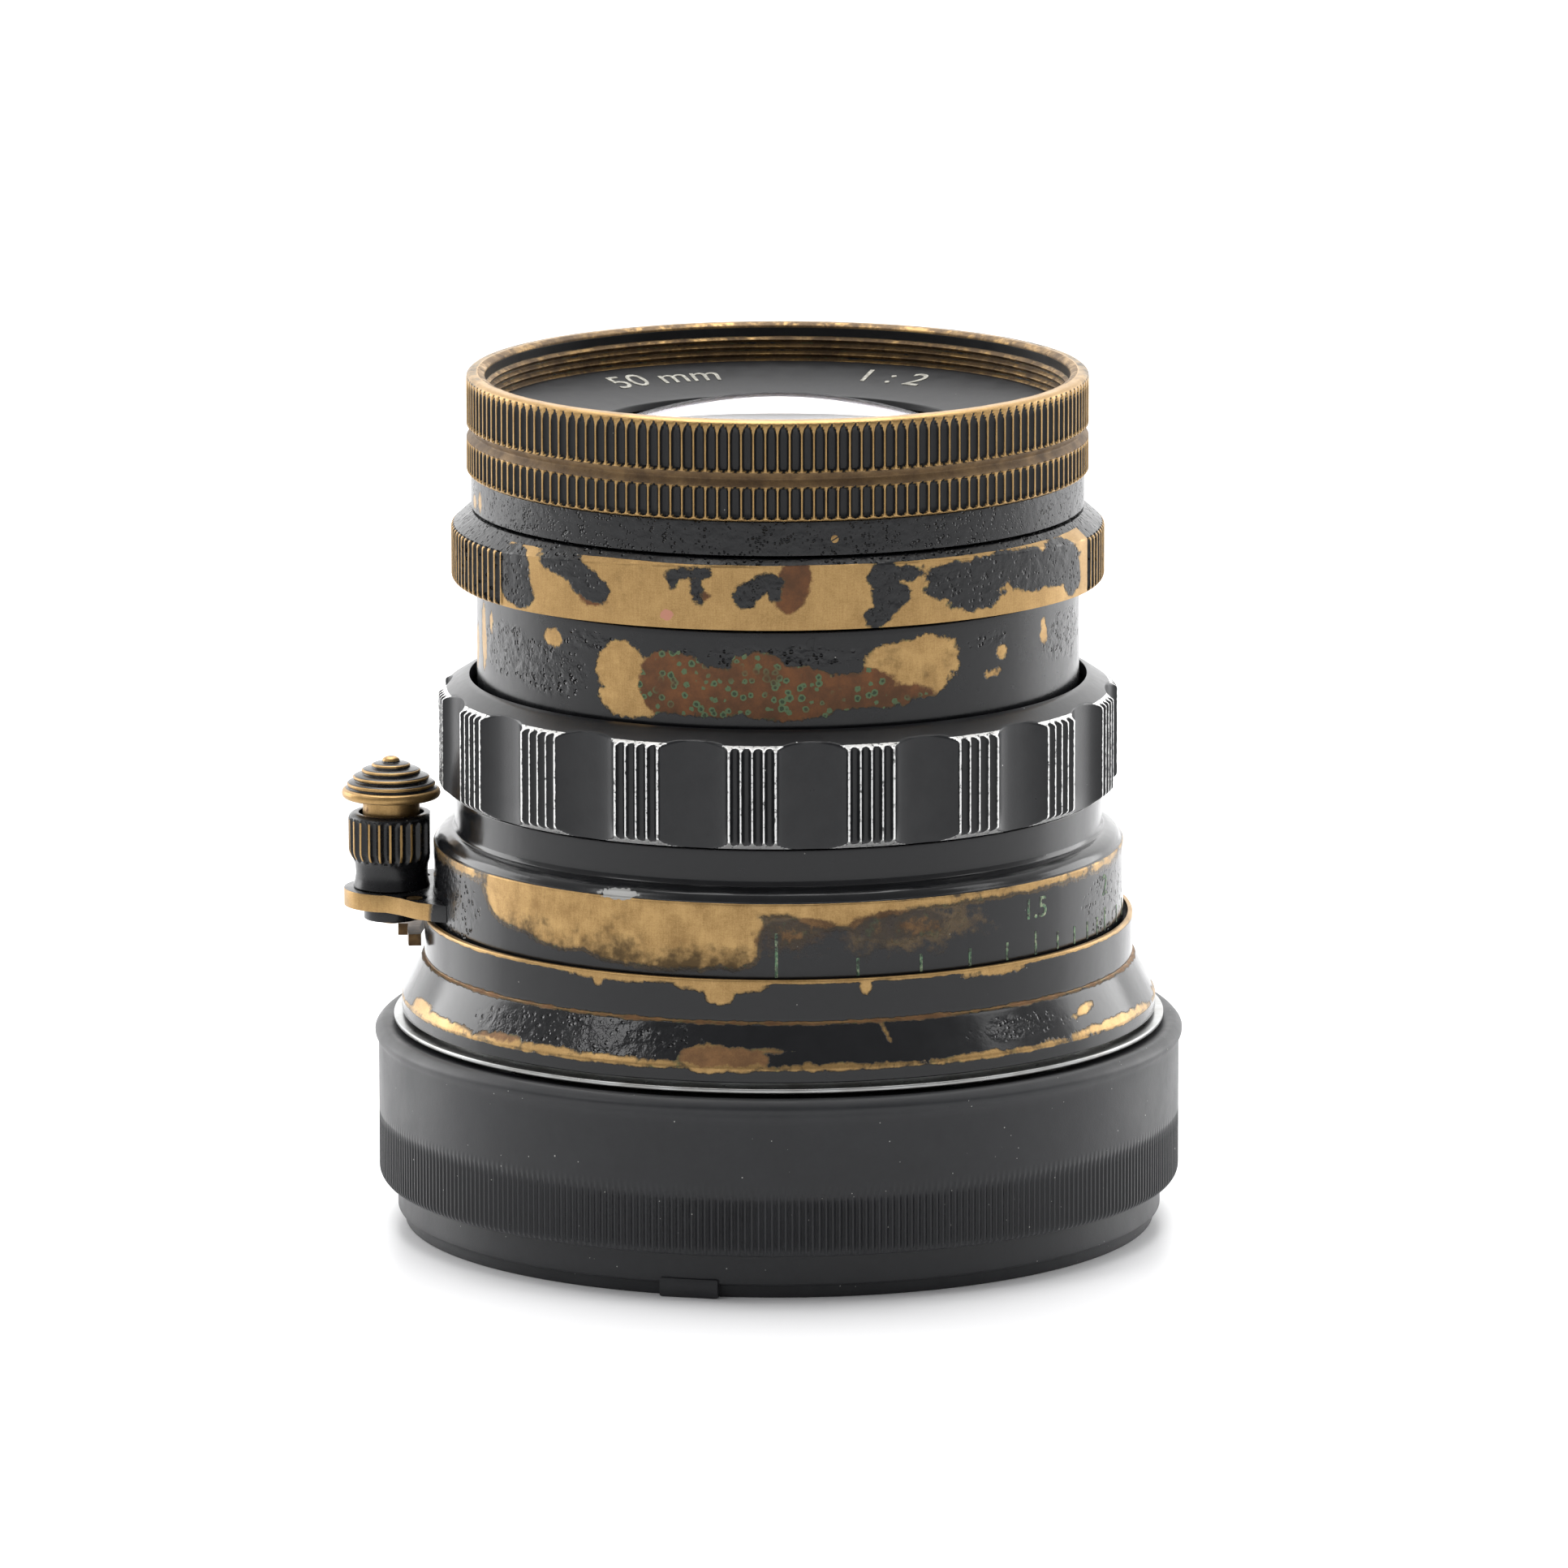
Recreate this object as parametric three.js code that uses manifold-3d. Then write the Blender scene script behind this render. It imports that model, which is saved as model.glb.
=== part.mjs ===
// Standard lens of a rangefinder camera, standing nose up on its bayonet rear cap.
// Millimetres. +Z runs along the optical axis from the cap's foot to the front rim, and the origin
// is the middle of the foot. -Y is the side that carries the far end of the distance scale, and
// -X the side of the infinity lock's button. Angles are counted from +X, counter-clockwise seen
// from the front. The focus stands at infinity and the iris is fully open.

import * as THREE from 'three';
import { mergeVertices } from 'three/addons/utils/BufferGeometryUtils.js';
import Module from 'manifold-3d';

const wasm = await Module();
wasm.setup();

// ---- driving dimensions -------------------------------------------------------------------

const GAP = 0.3;                   // clearance between neighbouring pieces
const RING_SEGMENTS = 32;
const CELL_SEGMENTS = 24;
const GLASS_SEGMENTS = 16;
const SMALL_SEGMENTS = 12;

const CAP_FOOT_RADIUS = 25.6;
const CAP_RADIUS = 27.2;
const CAP_BEAD_RADIUS = 27.44;
const CAP_RIM_TOP = 13.7;
const CAP_FLOOR = 1.6;
const CAP_BORE = 24.3;

const FLANGE_Z = CAP_RIM_TOP + GAP;  // the lens's seating face
const FLANGE_RADIUS = 26.15;
const THROAT_BOTTOM = 8.6;
const THROAT_RADIUS = 20.6;
const LUG_RADIUS = 21.9;
const LUG_COUNT = 3;

const HELICOID_BORE = 19.7;
const HELICOID_RADIUS = 20.5;
const HELICOID_TOP = 29.0;

const FIXED_LIP_TOP = 21.25;
const FIXED_LIP_RADIUS = 24.04;
const FIXED_BAND_RADIUS = 25.6;

const SCALE_RADIUS = 23.4;
const SCALE_BOTTOM = 19.95;
const SCALE_TOP = 26.2;
const NECK_RADIUS = 21.94;
const NECK_TOP = 29.6;
const SPIGOT_RADIUS = 21.3;
const SPIGOT_TOP = 36.4;
const FOCUS_BORE = 20.8;

const GRIP_RADIUS = 23.0;
const GRIP_TOP = 37.6;

const KNOB_X = -26.25;             // axis of the infinity lock's button
const TAB_BOTTOM = 21.6;
const TAB_TOP = 22.8;
const TAB_END_RADIUS = 3.25;
const BUTTON_RADIUS = 3.4;
const BUTTON_BRIM_Z = 29.0;
const BUTTON_TOP = 31.8;
const BUTTON_STEPS = 5;
const COLLAR_TOP = 28.0;

const BARREL_RADIUS = 20.37;
const BARREL_BORE = 18.0;
const BARREL_SHOULDER = 44.0;
const BARREL_TOP = 50.5;
const TUBE_RADIUS = 19.4;
const TUBE_BOTTOM = 12.0;
const CAM_BOTTOM = 6.5;            // the rangefinder's follower rests here, 7.5 mm behind the flange

const APERTURE_RADIUS = 22.07;
const APERTURE_TOP = 48.9;
const APERTURE_BORE = 19.2;
const APERTURE_TURN = THREE.MathUtils.degToRad(75);

const FRONT_NECK_RADIUS = 20.7;
const FRONT_RADIUS = 21.0;
const FRONT_BORE = 19.75;
const RIM_TOP = 58.3;

const BLADE_COUNT = 10;
const BLADE_THICKNESS = 0.12;
const BLADE_PITCH = 0.22;          // height from one blade to the next
const BLADE_FIRST_Z = 42.6;
const BLADE_INNER = 11.2;
const BLADE_OUTER = 14.9;
const BLADE_PIVOT = 16.4;
const BLADE_SPAN = THREE.MathUtils.degToRad(112);
const CARRIER_BOTTOM = 41.7;
const CARRIER_TOP = 42.3;

// ---- finishes -----------------------------------------------------------------------------

const finish = (color, roughness, metalness) => ({ color, roughness, metalness });
const BLACK_PAINT = finish(0x17181a, 0.35, 0.2);
const BLACK_ALUMINIUM = finish(0x1b1c1e, 0.5, 0.6);
const BLACK_PLASTIC = finish(0x1a1b1c, 0.6, 0.0);
const MATT_BLACK = finish(0x101010, 0.8, 0.1);
const BRASS = finish(0xb89050, 0.35, 1.0);
const CHROME = finish(0xc9c9c6, 0.25, 1.0);
const STEEL = finish(0x9a9a98, 0.4, 1.0);
const GLASS = finish(0xbfc8d8, 0.05, 0.0);

// ---- making ------------------------------------------------------------------------------

const object = new THREE.Group();

function add(name, geometry, look) {
  const mesh = new THREE.Mesh(geometry, new THREE.MeshStandardMaterial(look));
  mesh.name = name;
  object.add(mesh);
  return mesh;
}

// A piece turned about +Z, from an outline of [radius, height] that runs counter-clockwise.
// An outline that leaves the axis comes back to it, and any other one closes on itself.
function turned(outline, segments) {
  const points = outline.map(([radius, height]) => new THREE.Vector2(radius, height));
  if (outline[0][0] > 0) points.push(points[0].clone());
  return new THREE.LatheGeometry(points, segments).rotateX(Math.PI / 2);
}

function ring(inner, outer, bottom, top, segments = RING_SEGMENTS) {
  return turned([[inner, bottom], [outer, bottom], [outer, top], [inner, top]], segments);
}

function rod(radius, bottom, top, segments = SMALL_SEGMENTS) {
  const geometry = new THREE.CylinderGeometry(radius, radius, top - bottom, segments);
  return geometry.rotateX(Math.PI / 2).translate(0, 0, (bottom + top) / 2);
}

// A round pin along a radius of the lens.
function radialPin(radius, inner, outer, height, angle) {
  const geometry = new THREE.CylinderGeometry(radius, radius, outer - inner, SMALL_SEGMENTS);
  return geometry.rotateZ(-Math.PI / 2).translate((inner + outer) / 2, 0, height).rotateZ(angle);
}

// A flat block bounded by two arcs about the axis.
function sector(inner, outer, from, span, bottom, top, steps = 8) {
  const shape = new THREE.Shape();
  shape.absarc(0, 0, outer, from, from + span, false);
  shape.absarc(0, 0, inner, from + span, from, true);
  const options = { depth: top - bottom, bevelEnabled: false, curveSegments: steps };
  return new THREE.ExtrudeGeometry(shape, options).translate(0, 0, bottom);
}

function solid(geometry) {
  const bare = geometry.clone();
  bare.deleteAttribute('normal');
  bare.deleteAttribute('uv');
  const merged = mergeVertices(bare, 1e-4);
  const corners = [];
  for (let i = 0; i < merged.index.count; i += 3) {
    const [a, b, c] = [0, 1, 2].map((k) => merged.index.getX(i + k));
    if (a !== b && b !== c && c !== a) corners.push(a, b, c);
  }
  return new wasm.Manifold(new wasm.Mesh({
    numProp: 3,
    vertProperties: new Float32Array(merged.attributes.position.array),
    triVerts: new Uint32Array(corners),
  }));
}

function geometryOf(manifold) {
  const { vertProperties, triVerts } = manifold.getMesh();
  const geometry = new THREE.BufferGeometry();
  geometry.setAttribute('position', new THREE.BufferAttribute(vertProperties, 3));
  geometry.setIndex(new THREE.BufferAttribute(triVerts, 1));
  geometry.computeVertexNormals();
  return geometry;
}

const joined = (body, pieces) =>
  geometryOf(pieces.reduce((sum, piece) => sum.add(solid(piece)), solid(body)));
const cut = (body, tools) =>
  geometryOf(tools.reduce((rest, tool) => rest.subtract(solid(tool)), solid(body)));

const around = (count, start = 0) =>
  Array.from({ length: count }, (_, i) => start + (2 * Math.PI * i) / count);

// ---- rear cap ------------------------------------------------------------------------------

// A moulded cup. Three lips inside its mouth hold the lens's lugs once the lens is twisted.
const LIP_SPAN = THREE.MathUtils.degToRad(48);
const KEY_TAB = { width: 3.96, angle: THREE.MathUtils.degToRad(-103.3) };
const capBody = turned([
  [0, 0], [CAP_FOOT_RADIUS, 0], [CAP_FOOT_RADIUS, 0.94], [25.9, 0.94], [25.9, 3.0],
  [CAP_RADIUS, 3.1], [CAP_RADIUS, 12.7], [CAP_BEAD_RADIUS, 12.95], [CAP_BEAD_RADIUS, 13.25],
  [27.1, 13.6], [26.7, CAP_RIM_TOP], [25.2, CAP_RIM_TOP], [CAP_BORE, 12.8],
  [CAP_BORE, CAP_FLOOR], [0, CAP_FLOOR],
], RING_SEGMENTS);
const capLips = around(LUG_COUNT, Math.PI / 3).map((angle) =>
  sector(THROAT_RADIUS + GAP, CAP_BORE + 0.6, angle, LIP_SPAN, 10.8, 12.2));
const capTab = new THREE.BoxGeometry(1.2, KEY_TAB.width, 1.4)
  .translate(CAP_FOOT_RADIUS - 0.1, 0, 0.7).rotateZ(KEY_TAB.angle);
add('rear_cap', joined(capBody, [...capLips, capTab]), BLACK_PLASTIC);

// ---- mount ---------------------------------------------------------------------------------

// The flange, the throat with its three bayonet lugs, and the fixed helicoid are one turning.
const SCREW_CIRCLE = 22.9;
const SCREW_COUNT = 4;
const flangeBody = turned([
  [HELICOID_BORE, THROAT_BOTTOM], [THROAT_RADIUS, THROAT_BOTTOM], [THROAT_RADIUS, FLANGE_Z],
  [FLANGE_RADIUS, FLANGE_Z], [FLANGE_RADIUS, FLANGE_Z + 0.3], [24.7, FLANGE_Z + 0.3],
  [24.7, FLANGE_Z + 0.9], [HELICOID_RADIUS, FLANGE_Z + 0.9], [HELICOID_RADIUS, HELICOID_TOP],
  [HELICOID_BORE, HELICOID_TOP],
], RING_SEGMENTS);
const lugs = around(LUG_COUNT).map((angle) =>
  sector(THROAT_RADIUS - 0.4, LUG_RADIUS, angle, LIP_SPAN, THROAT_BOTTOM + 0.3, THROAT_BOTTOM + 1.6));
const screwAngles = around(SCREW_COUNT, Math.PI / 4);
const atScrew = (geometry, angle) =>
  geometry.translate(SCREW_CIRCLE, 0, 0).rotateZ(angle);
const flangeHoles = screwAngles.map((angle) =>
  atScrew(rod(1.4, FLANGE_Z - 1, FLANGE_Z + 2), angle));
add('mount_flange', cut(joined(flangeBody, lugs), flangeHoles), CHROME);

// The fixed ring carries the depth-of-field scale, and its lip hides the foot of the scale ring.
const fixedBody = turned([
  [21.4, 15.2], [25.0, 15.2], [25.0, 14.6], [FIXED_BAND_RADIUS, 14.6], [FIXED_BAND_RADIUS, 15.6],
  [24.2, 18.3], [FIXED_LIP_RADIUS, 18.4], [FIXED_LIP_RADIUS, FIXED_LIP_TOP],
  [SCALE_RADIUS + GAP, FIXED_LIP_TOP], [SCALE_RADIUS + GAP, 19.6], [21.4, 19.6],
], RING_SEGMENTS);
const fixedHoles = screwAngles.map((angle) => atScrew(rod(0.9, 14.8, 18.2), angle));
add('fixed_ring', cut(fixedBody, fixedHoles), BLACK_PAINT);

for (const [i, angle] of screwAngles.entries()) {
  const screw = joined(rod(1.05, FLANGE_Z + 0.1, FLANGE_Z + 0.7), [rod(0.55, FLANGE_Z + 0.6, 17.8)]);
  add(`flange_screw_${i + 1}`, atScrew(screw, angle), STEEL);
}

// The key stops the barrel turning, so that it can only slide along the axis.
const KEY_WIDTH = 2.0;
add('guide_key', new THREE.BoxGeometry(0.55, KEY_WIDTH, 8), BRASS)
  .position.set(-TUBE_RADIUS + 0.35, 0, 19.5);

// The catch for the lock's pin. Its foot lies along the fixed ring, clear of the pin's path, and
// its stop reaches out beside the pin at infinity. One screw holds the stop.
const CATCH_BOTTOM = 19.2;
const CATCH_TOP = 20.0;
const CATCH_BORE = FIXED_LIP_RADIUS + GAP;
const STOP_ANGLE = THREE.MathUtils.degToRad(171.5);
const STOP_SPAN = THREE.MathUtils.degToRad(6.2);
const FOOT_SPAN = THREE.MathUtils.degToRad(14.5);
const CATCH_SCREW = { radius: 25.12, angle: THREE.MathUtils.degToRad(174.3) };
const catchFoot = sector(CATCH_BORE, 25.2, STOP_ANGLE, FOOT_SPAN, CATCH_BOTTOM, CATCH_TOP);
const catchStop = sector(CATCH_BORE, 25.9, STOP_ANGLE, STOP_SPAN, CATCH_BOTTOM, CATCH_TOP);
const atCatchScrew = (geometry) =>
  geometry.translate(CATCH_SCREW.radius, 0, 0).rotateZ(CATCH_SCREW.angle);
const catchHole = atCatchScrew(rod(0.52, CATCH_BOTTOM - 1, CATCH_TOP + 1));
add('infinity_catch', geometryOf(
  solid(catchFoot).add(solid(catchStop)).subtract(solid(catchHole))), BRASS);
add('catch_screw', atCatchScrew(rod(0.22, CATCH_BOTTOM + 0.1, CATCH_TOP - 0.05)), STEEL);

// ---- focusing ring -------------------------------------------------------------------------

add('scale_ring', turned([
  [FOCUS_BORE, SCALE_BOTTOM], [SCALE_RADIUS, SCALE_BOTTOM], [SCALE_RADIUS, SCALE_TOP],
  [23.15, 26.7], [22.6, 27.2], [NECK_RADIUS, 27.5], [NECK_RADIUS, NECK_TOP],
  [SPIGOT_RADIUS, NECK_TOP], [SPIGOT_RADIUS, SPIGOT_TOP], [FOCUS_BORE, SPIGOT_TOP],
], RING_SEGMENTS), BLACK_PAINT);

add('focus_grip', turned([
  [SPIGOT_RADIUS + GAP, NECK_TOP + GAP], [22.3, NECK_TOP + GAP], [GRIP_RADIUS, 30.4],
  [GRIP_RADIUS, 36.4], [21.2, 37.5], [20.9, GRIP_TOP], [20.75, 36.9],
  [SPIGOT_RADIUS + GAP, 36.75],
], RING_SEGMENTS), BLACK_ALUMINIUM);

// The tear-shaped plate of the infinity lock, which grows out of the scale ring's side.
const TAB_SPREAD = Math.asin(7.5 / (SCALE_RADIUS + GAP));
const tabShape = new THREE.Shape();
tabShape.absarc(0, 0, SCALE_RADIUS + GAP, Math.PI + TAB_SPREAD, Math.PI - TAB_SPREAD, true);
tabShape.absarc(KNOB_X, 0, TAB_END_RADIUS, Math.PI * 0.62, Math.PI * 1.38, false);
const tabBody = new THREE.ExtrudeGeometry(tabShape, {
  depth: TAB_TOP - TAB_BOTTOM, bevelEnabled: false, curveSegments: 10,
}).translate(0, 0, TAB_BOTTOM);
const pinHole = rod(1.15, TAB_BOTTOM - 1, TAB_TOP + 1).translate(KNOB_X, 0, 0);
const tabScrewPlaces = [-1, 1].map((side) => new THREE.Vector2(-24.6, side * 3.9));
const tabHoles = tabScrewPlaces.map(({ x, y }) =>
  rod(0.85, TAB_TOP - 0.8, TAB_TOP + 1).translate(x, y, 0));
add('lock_tab', cut(tabBody, [pinHole, ...tabHoles]), BLACK_PAINT);
for (const [i, { x, y }] of tabScrewPlaces.entries()) {
  add(`tab_screw_${i + 1}`, rod(0.55, TAB_TOP - 0.5, TAB_TOP), BRASS).position.set(x, y, 0);
}

// The sleeve that guides the button. Its flank is relieved where it passes the scale ring.
const COLLAR_BORE = 2.22;
const collarBody = turned([
  [COLLAR_BORE, TAB_TOP + GAP], [2.51, TAB_TOP + GAP], [2.51, 24.8], [2.92, 25.1],
  [2.92, 27.8], [2.75, COLLAR_TOP], [COLLAR_BORE, COLLAR_TOP],
], SMALL_SEGMENTS * 2).translate(KNOB_X, 0, 0);
const relief = rod(SCALE_RADIUS + GAP, 20, 30, RING_SEGMENTS * 2);
add('lock_collar', cut(collarBody, [relief]), BLACK_PAINT);
add('lock_bush', ring(1.15, 1.9, 20.6, TAB_BOTTOM - GAP, SMALL_SEGMENTS), BRASS)
  .position.x = KNOB_X;

// The button: a stepped cone on a stem, and the pin that meets the catch's stop.
const PIN_BOTTOM = 20.35;
const STEM_BOTTOM = 26.6;
const STEM_RADIUS = 1.93;
const stepRise = (BUTTON_TOP - BUTTON_BRIM_Z) / (BUTTON_STEPS + 0.6);
const steps = Array.from({ length: BUTTON_STEPS }, (_, i) => {
  const radius = BUTTON_RADIUS * (1 - i / (BUTTON_STEPS + 0.3));
  const height = BUTTON_BRIM_Z + stepRise * i;
  return [[radius, height], [radius, height + stepRise]];
}).flat();
add('lock_button', turned([
  [0, PIN_BOTTOM], [0.8, PIN_BOTTOM], [0.8, STEM_BOTTOM], [STEM_RADIUS, STEM_BOTTOM],
  [STEM_RADIUS, BUTTON_BRIM_Z], ...steps, [0.35, BUTTON_TOP], [0, BUTTON_TOP],
], SMALL_SEGMENTS * 2), BRASS).position.x = KNOB_X;

// The spring that holds the button up, wound round the pin.
const SPRING_TURNS = 3.5;
const SPRING_RADIUS = 1.5;
const SPRING_BOTTOM = 23.35;
const SPRING_TOP = 26.1;
const WIRE_RADIUS = 0.2;
class Coil extends THREE.Curve {
  getPoint(t, target = new THREE.Vector3()) {
    const angle = 2 * Math.PI * SPRING_TURNS * t;
    const height = SPRING_BOTTOM + (SPRING_TOP - SPRING_BOTTOM) * t;
    return target.set(SPRING_RADIUS * Math.cos(angle), SPRING_RADIUS * Math.sin(angle), height);
  }
}
const wire = new THREE.Shape();
wire.absarc(0, 0, WIRE_RADIUS, 0, 2 * Math.PI, false);
add('lock_spring', new THREE.ExtrudeGeometry(wire, {
  extrudePath: new Coil(), steps: 42, curveSegments: 3,
}), STEEL).position.x = KNOB_X;

// ---- barrel --------------------------------------------------------------------------------

// The barrel slides in the fixed helicoid. It is slotted for the key, and its collar for the
// pin that ties the aperture ring to the iris. The pin runs clockwise as the iris closes.
const DRIVE_ANGLE = THREE.MathUtils.degToRad(20);
const SLOT_MARGIN = THREE.MathUtils.degToRad(3);
const DRIVE_Z = 45.5;
const BARREL_SCREW = { angle: THREE.MathUtils.degToRad(-83.5), z: 43.2 };
const CLICK_ANGLE = THREE.MathUtils.degToRad(100);
const barrelBody = turned([
  [BARREL_BORE, TUBE_BOTTOM], [TUBE_RADIUS, TUBE_BOTTOM], [TUBE_RADIUS, 33.0],
  [BARREL_RADIUS, 33.0], [BARREL_RADIUS, BARREL_SHOULDER], [APERTURE_BORE - GAP, BARREL_SHOULDER],
  [APERTURE_BORE - GAP, BARREL_TOP], [BARREL_BORE, BARREL_TOP],
], RING_SEGMENTS);
const keyway = new THREE.BoxGeometry(2, KEY_WIDTH + 2 * GAP, 13).translate(-TUBE_RADIUS, 0, 17.9);
const driveSlot = sector(BARREL_BORE - 1, APERTURE_BORE + 1,
  DRIVE_ANGLE - APERTURE_TURN - SLOT_MARGIN, APERTURE_TURN + 2 * SLOT_MARGIN,
  DRIVE_Z - 0.8, DRIVE_Z + 0.8, 10);
const screwPocket = radialPin(0.75, 19.2, 22, BARREL_SCREW.z, BARREL_SCREW.angle);
const clickHole = rod(0.85, 41.4, 45).translate(19.35, 0, 0).rotateZ(CLICK_ANGLE);
add('lens_barrel', cut(barrelBody, [keyway, driveSlot, screwPocket, clickHole]), BLACK_PAINT);
add('barrel_screw', radialPin(0.45, 19.5, 20.37, BARREL_SCREW.z, BARREL_SCREW.angle), BRASS);
add('click_ball', new THREE.SphereGeometry(0.55, 10, 8)
  .translate(19.35, 0, 43.4).rotateZ(CLICK_ANGLE), STEEL);
add('click_spring', ring(0.2, 0.5, 41.7, 42.6, 8)
  .translate(19.35, 0, 0).rotateZ(CLICK_ANGLE), STEEL);

add('rangefinder_cam', ring(17.3, 19.0, CAM_BOTTOM, TUBE_BOTTOM - GAP), BRASS);

// ---- aperture ring -------------------------------------------------------------------------

const driveHole = radialPin(0.8, 19, 20.6, DRIVE_Z, DRIVE_ANGLE);
const apertureBody = turned([
  [APERTURE_BORE, 44.3], [APERTURE_RADIUS, 44.3], [APERTURE_RADIUS, 47.9],
  [FRONT_NECK_RADIUS, APERTURE_TOP], [APERTURE_BORE, APERTURE_TOP],
], RING_SEGMENTS);
add('aperture_ring', cut(apertureBody, [driveHole]), BLACK_PAINT);
add('drive_pin', radialPin(0.5, 17.7, 20.2, DRIVE_Z, DRIVE_ANGLE), STEEL);
add('iris_ring', ring(11.6, 17.35, 45.1, 45.8, CELL_SEGMENTS), BRASS);

// ---- iris ----------------------------------------------------------------------------------

const pivotAngles = around(BLADE_COUNT);
const carrierHoles = pivotAngles.map((angle) =>
  rod(0.8, CARRIER_BOTTOM - 1, CARRIER_TOP + 1, 8).translate(BLADE_PIVOT, 0, 0).rotateZ(angle));
add('blade_carrier', cut(ring(11.4, 17.7, CARRIER_BOTTOM, CARRIER_TOP, CELL_SEGMENTS),
  carrierHoles), BRASS);

// A blade is a sickle with an ear at one end. The ear's pin turns in the carrier.
const BLADE_ROOT = THREE.MathUtils.degToRad(-3);
const EAR_RADIUS = 0.9;
const bladeShape = new THREE.Shape();
bladeShape.absarc(BLADE_PIVOT, 0, EAR_RADIUS, -Math.PI / 2, Math.PI / 2, false);
bladeShape.absarc(0, 0, BLADE_OUTER, THREE.MathUtils.degToRad(9), BLADE_SPAN, false);
bladeShape.absarc(0, 0, BLADE_INNER, BLADE_SPAN, BLADE_ROOT, true);
for (const [i, angle] of pivotAngles.entries()) {
  const bottom = BLADE_FIRST_Z + BLADE_PITCH * i;
  const plate = new THREE.ExtrudeGeometry(bladeShape, {
    depth: BLADE_THICKNESS, bevelEnabled: false, curveSegments: 9,
  }).translate(0, 0, bottom);
  const pin = rod(0.45, CARRIER_BOTTOM + 0.2, bottom + BLADE_THICKNESS / 2, 8)
    .translate(BLADE_PIVOT, 0, 0);
  const blade = add(`iris_blade_${String(i + 1).padStart(2, '0')}`, joined(plate, [pin]), MATT_BLACK);
  blade.rotation.z = angle;
}

// ---- front of the barrel -------------------------------------------------------------------

const NECK_SCREW = { angle: THREE.MathUtils.degToRad(-79.5), z: 50.3 };
const neckBody = turned([
  [APERTURE_BORE, 49.2], [FRONT_NECK_RADIUS, 49.2], [FRONT_NECK_RADIUS, 51.3], [19.4, 51.3],
  [19.4, 54.0], [18.2, 54.0], [18.2, 50.8], [APERTURE_BORE, 50.8],
], RING_SEGMENTS);
const neckPocket = radialPin(0.6, 19.6, 22, NECK_SCREW.z, NECK_SCREW.angle);
add('front_barrel', cut(neckBody, [neckPocket]), BLACK_PAINT);
add('neck_screw', radialPin(0.3, 19.9, 20.65, NECK_SCREW.z, NECK_SCREW.angle), STEEL);

// Two knurled bands with a V-groove between them. The bore takes a 39 mm screw-in filter.
add('front_ring', turned([
  [FRONT_BORE, 51.6], [FRONT_RADIUS, 51.6], [FRONT_RADIUS, 53.93], [20.6, 54.35],
  [FRONT_RADIUS, 54.77], [FRONT_RADIUS, 58.0], [20.6, RIM_TOP], [FRONT_BORE, RIM_TOP],
], RING_SEGMENTS), BLACK_PAINT);
add('name_ring', turned([
  [12.9, 54.0], [17.9, 54.0], [17.9, 54.3], [19.4, 54.3], [19.4, 55.7], [19.0, 55.7],
  [12.9, 54.4],
], RING_SEGMENTS), BLACK_PAINT);

// ---- optics --------------------------------------------------------------------------------

add('front_cell', turned([
  [10.6, 46.15], [17.7, 46.15], [17.7, 53.7], [13.7, 53.7], [13.7, 51.1], [12.5, 51.1],
  [12.5, 47.35], [11.5, 47.35], [11.5, 46.4], [10.6, 46.4],
], CELL_SEGMENTS), MATT_BLACK);
add('rear_cell', turned([
  [12.9, 20.4], [15.0, 20.4], [15.0, 40.0], [17.7, 40.0], [17.7, 41.2], [11.1, 41.2],
  [11.1, 34.7], [10.3, 34.7], [10.3, 30.7], [12.3, 30.7], [12.3, 25.9], [12.9, 25.9],
], CELL_SEGMENTS), MATT_BLACK);
add('rear_retainer', ring(11.8, 12.6, 22.5, 23.7, CELL_SEGMENTS), BRASS);
add('head_lock_ring', ring(15.4, 17.6, 21.0, 23.0, CELL_SEGMENTS), BRASS);

// An element: its rim radius, and for each face the height on the axis and how much higher the
// face's edge stands.
const elements = {
  element_1: { rim: 13.4, front: [56.3, -2.8], back: [51.9, -0.5] },
  element_2: { rim: 12.2, front: [51.2, -2.6], back: [48.9, -1.2] },
  element_3: { rim: 11.2, front: [48.2, -0.9], back: [47.6, -1.0] },
  element_4: { rim: 10.8, front: [38.8, 1.6], back: [37.4, 0.8] },
  element_5: { rim: 10.8, front: [37.1, 0.8], back: [32.4, 2.6] },
  element_6: { rim: 12.0, front: [31.6, -1.2], back: [27.4, 1.6] },
  element_7: { rim: 12.6, front: [26.6, -1.0], back: [22.8, 1.4] },
};
const FACE_STEPS = 3;
for (const [name, { rim, front, back }] of Object.entries(elements)) {
  const face = ([vertex, rise]) => Array.from({ length: FACE_STEPS + 1 }, (_, i) => {
    const share = i / FACE_STEPS;
    return [rim * share, vertex + rise * share * share];
  });
  add(name, turned([...face(back), ...face(front).reverse()], GLASS_SEGMENTS), GLASS);
}

export default object;
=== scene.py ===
import math

import bmesh
import bpy
import numpy as np
from mathutils import Matrix, Vector


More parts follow.
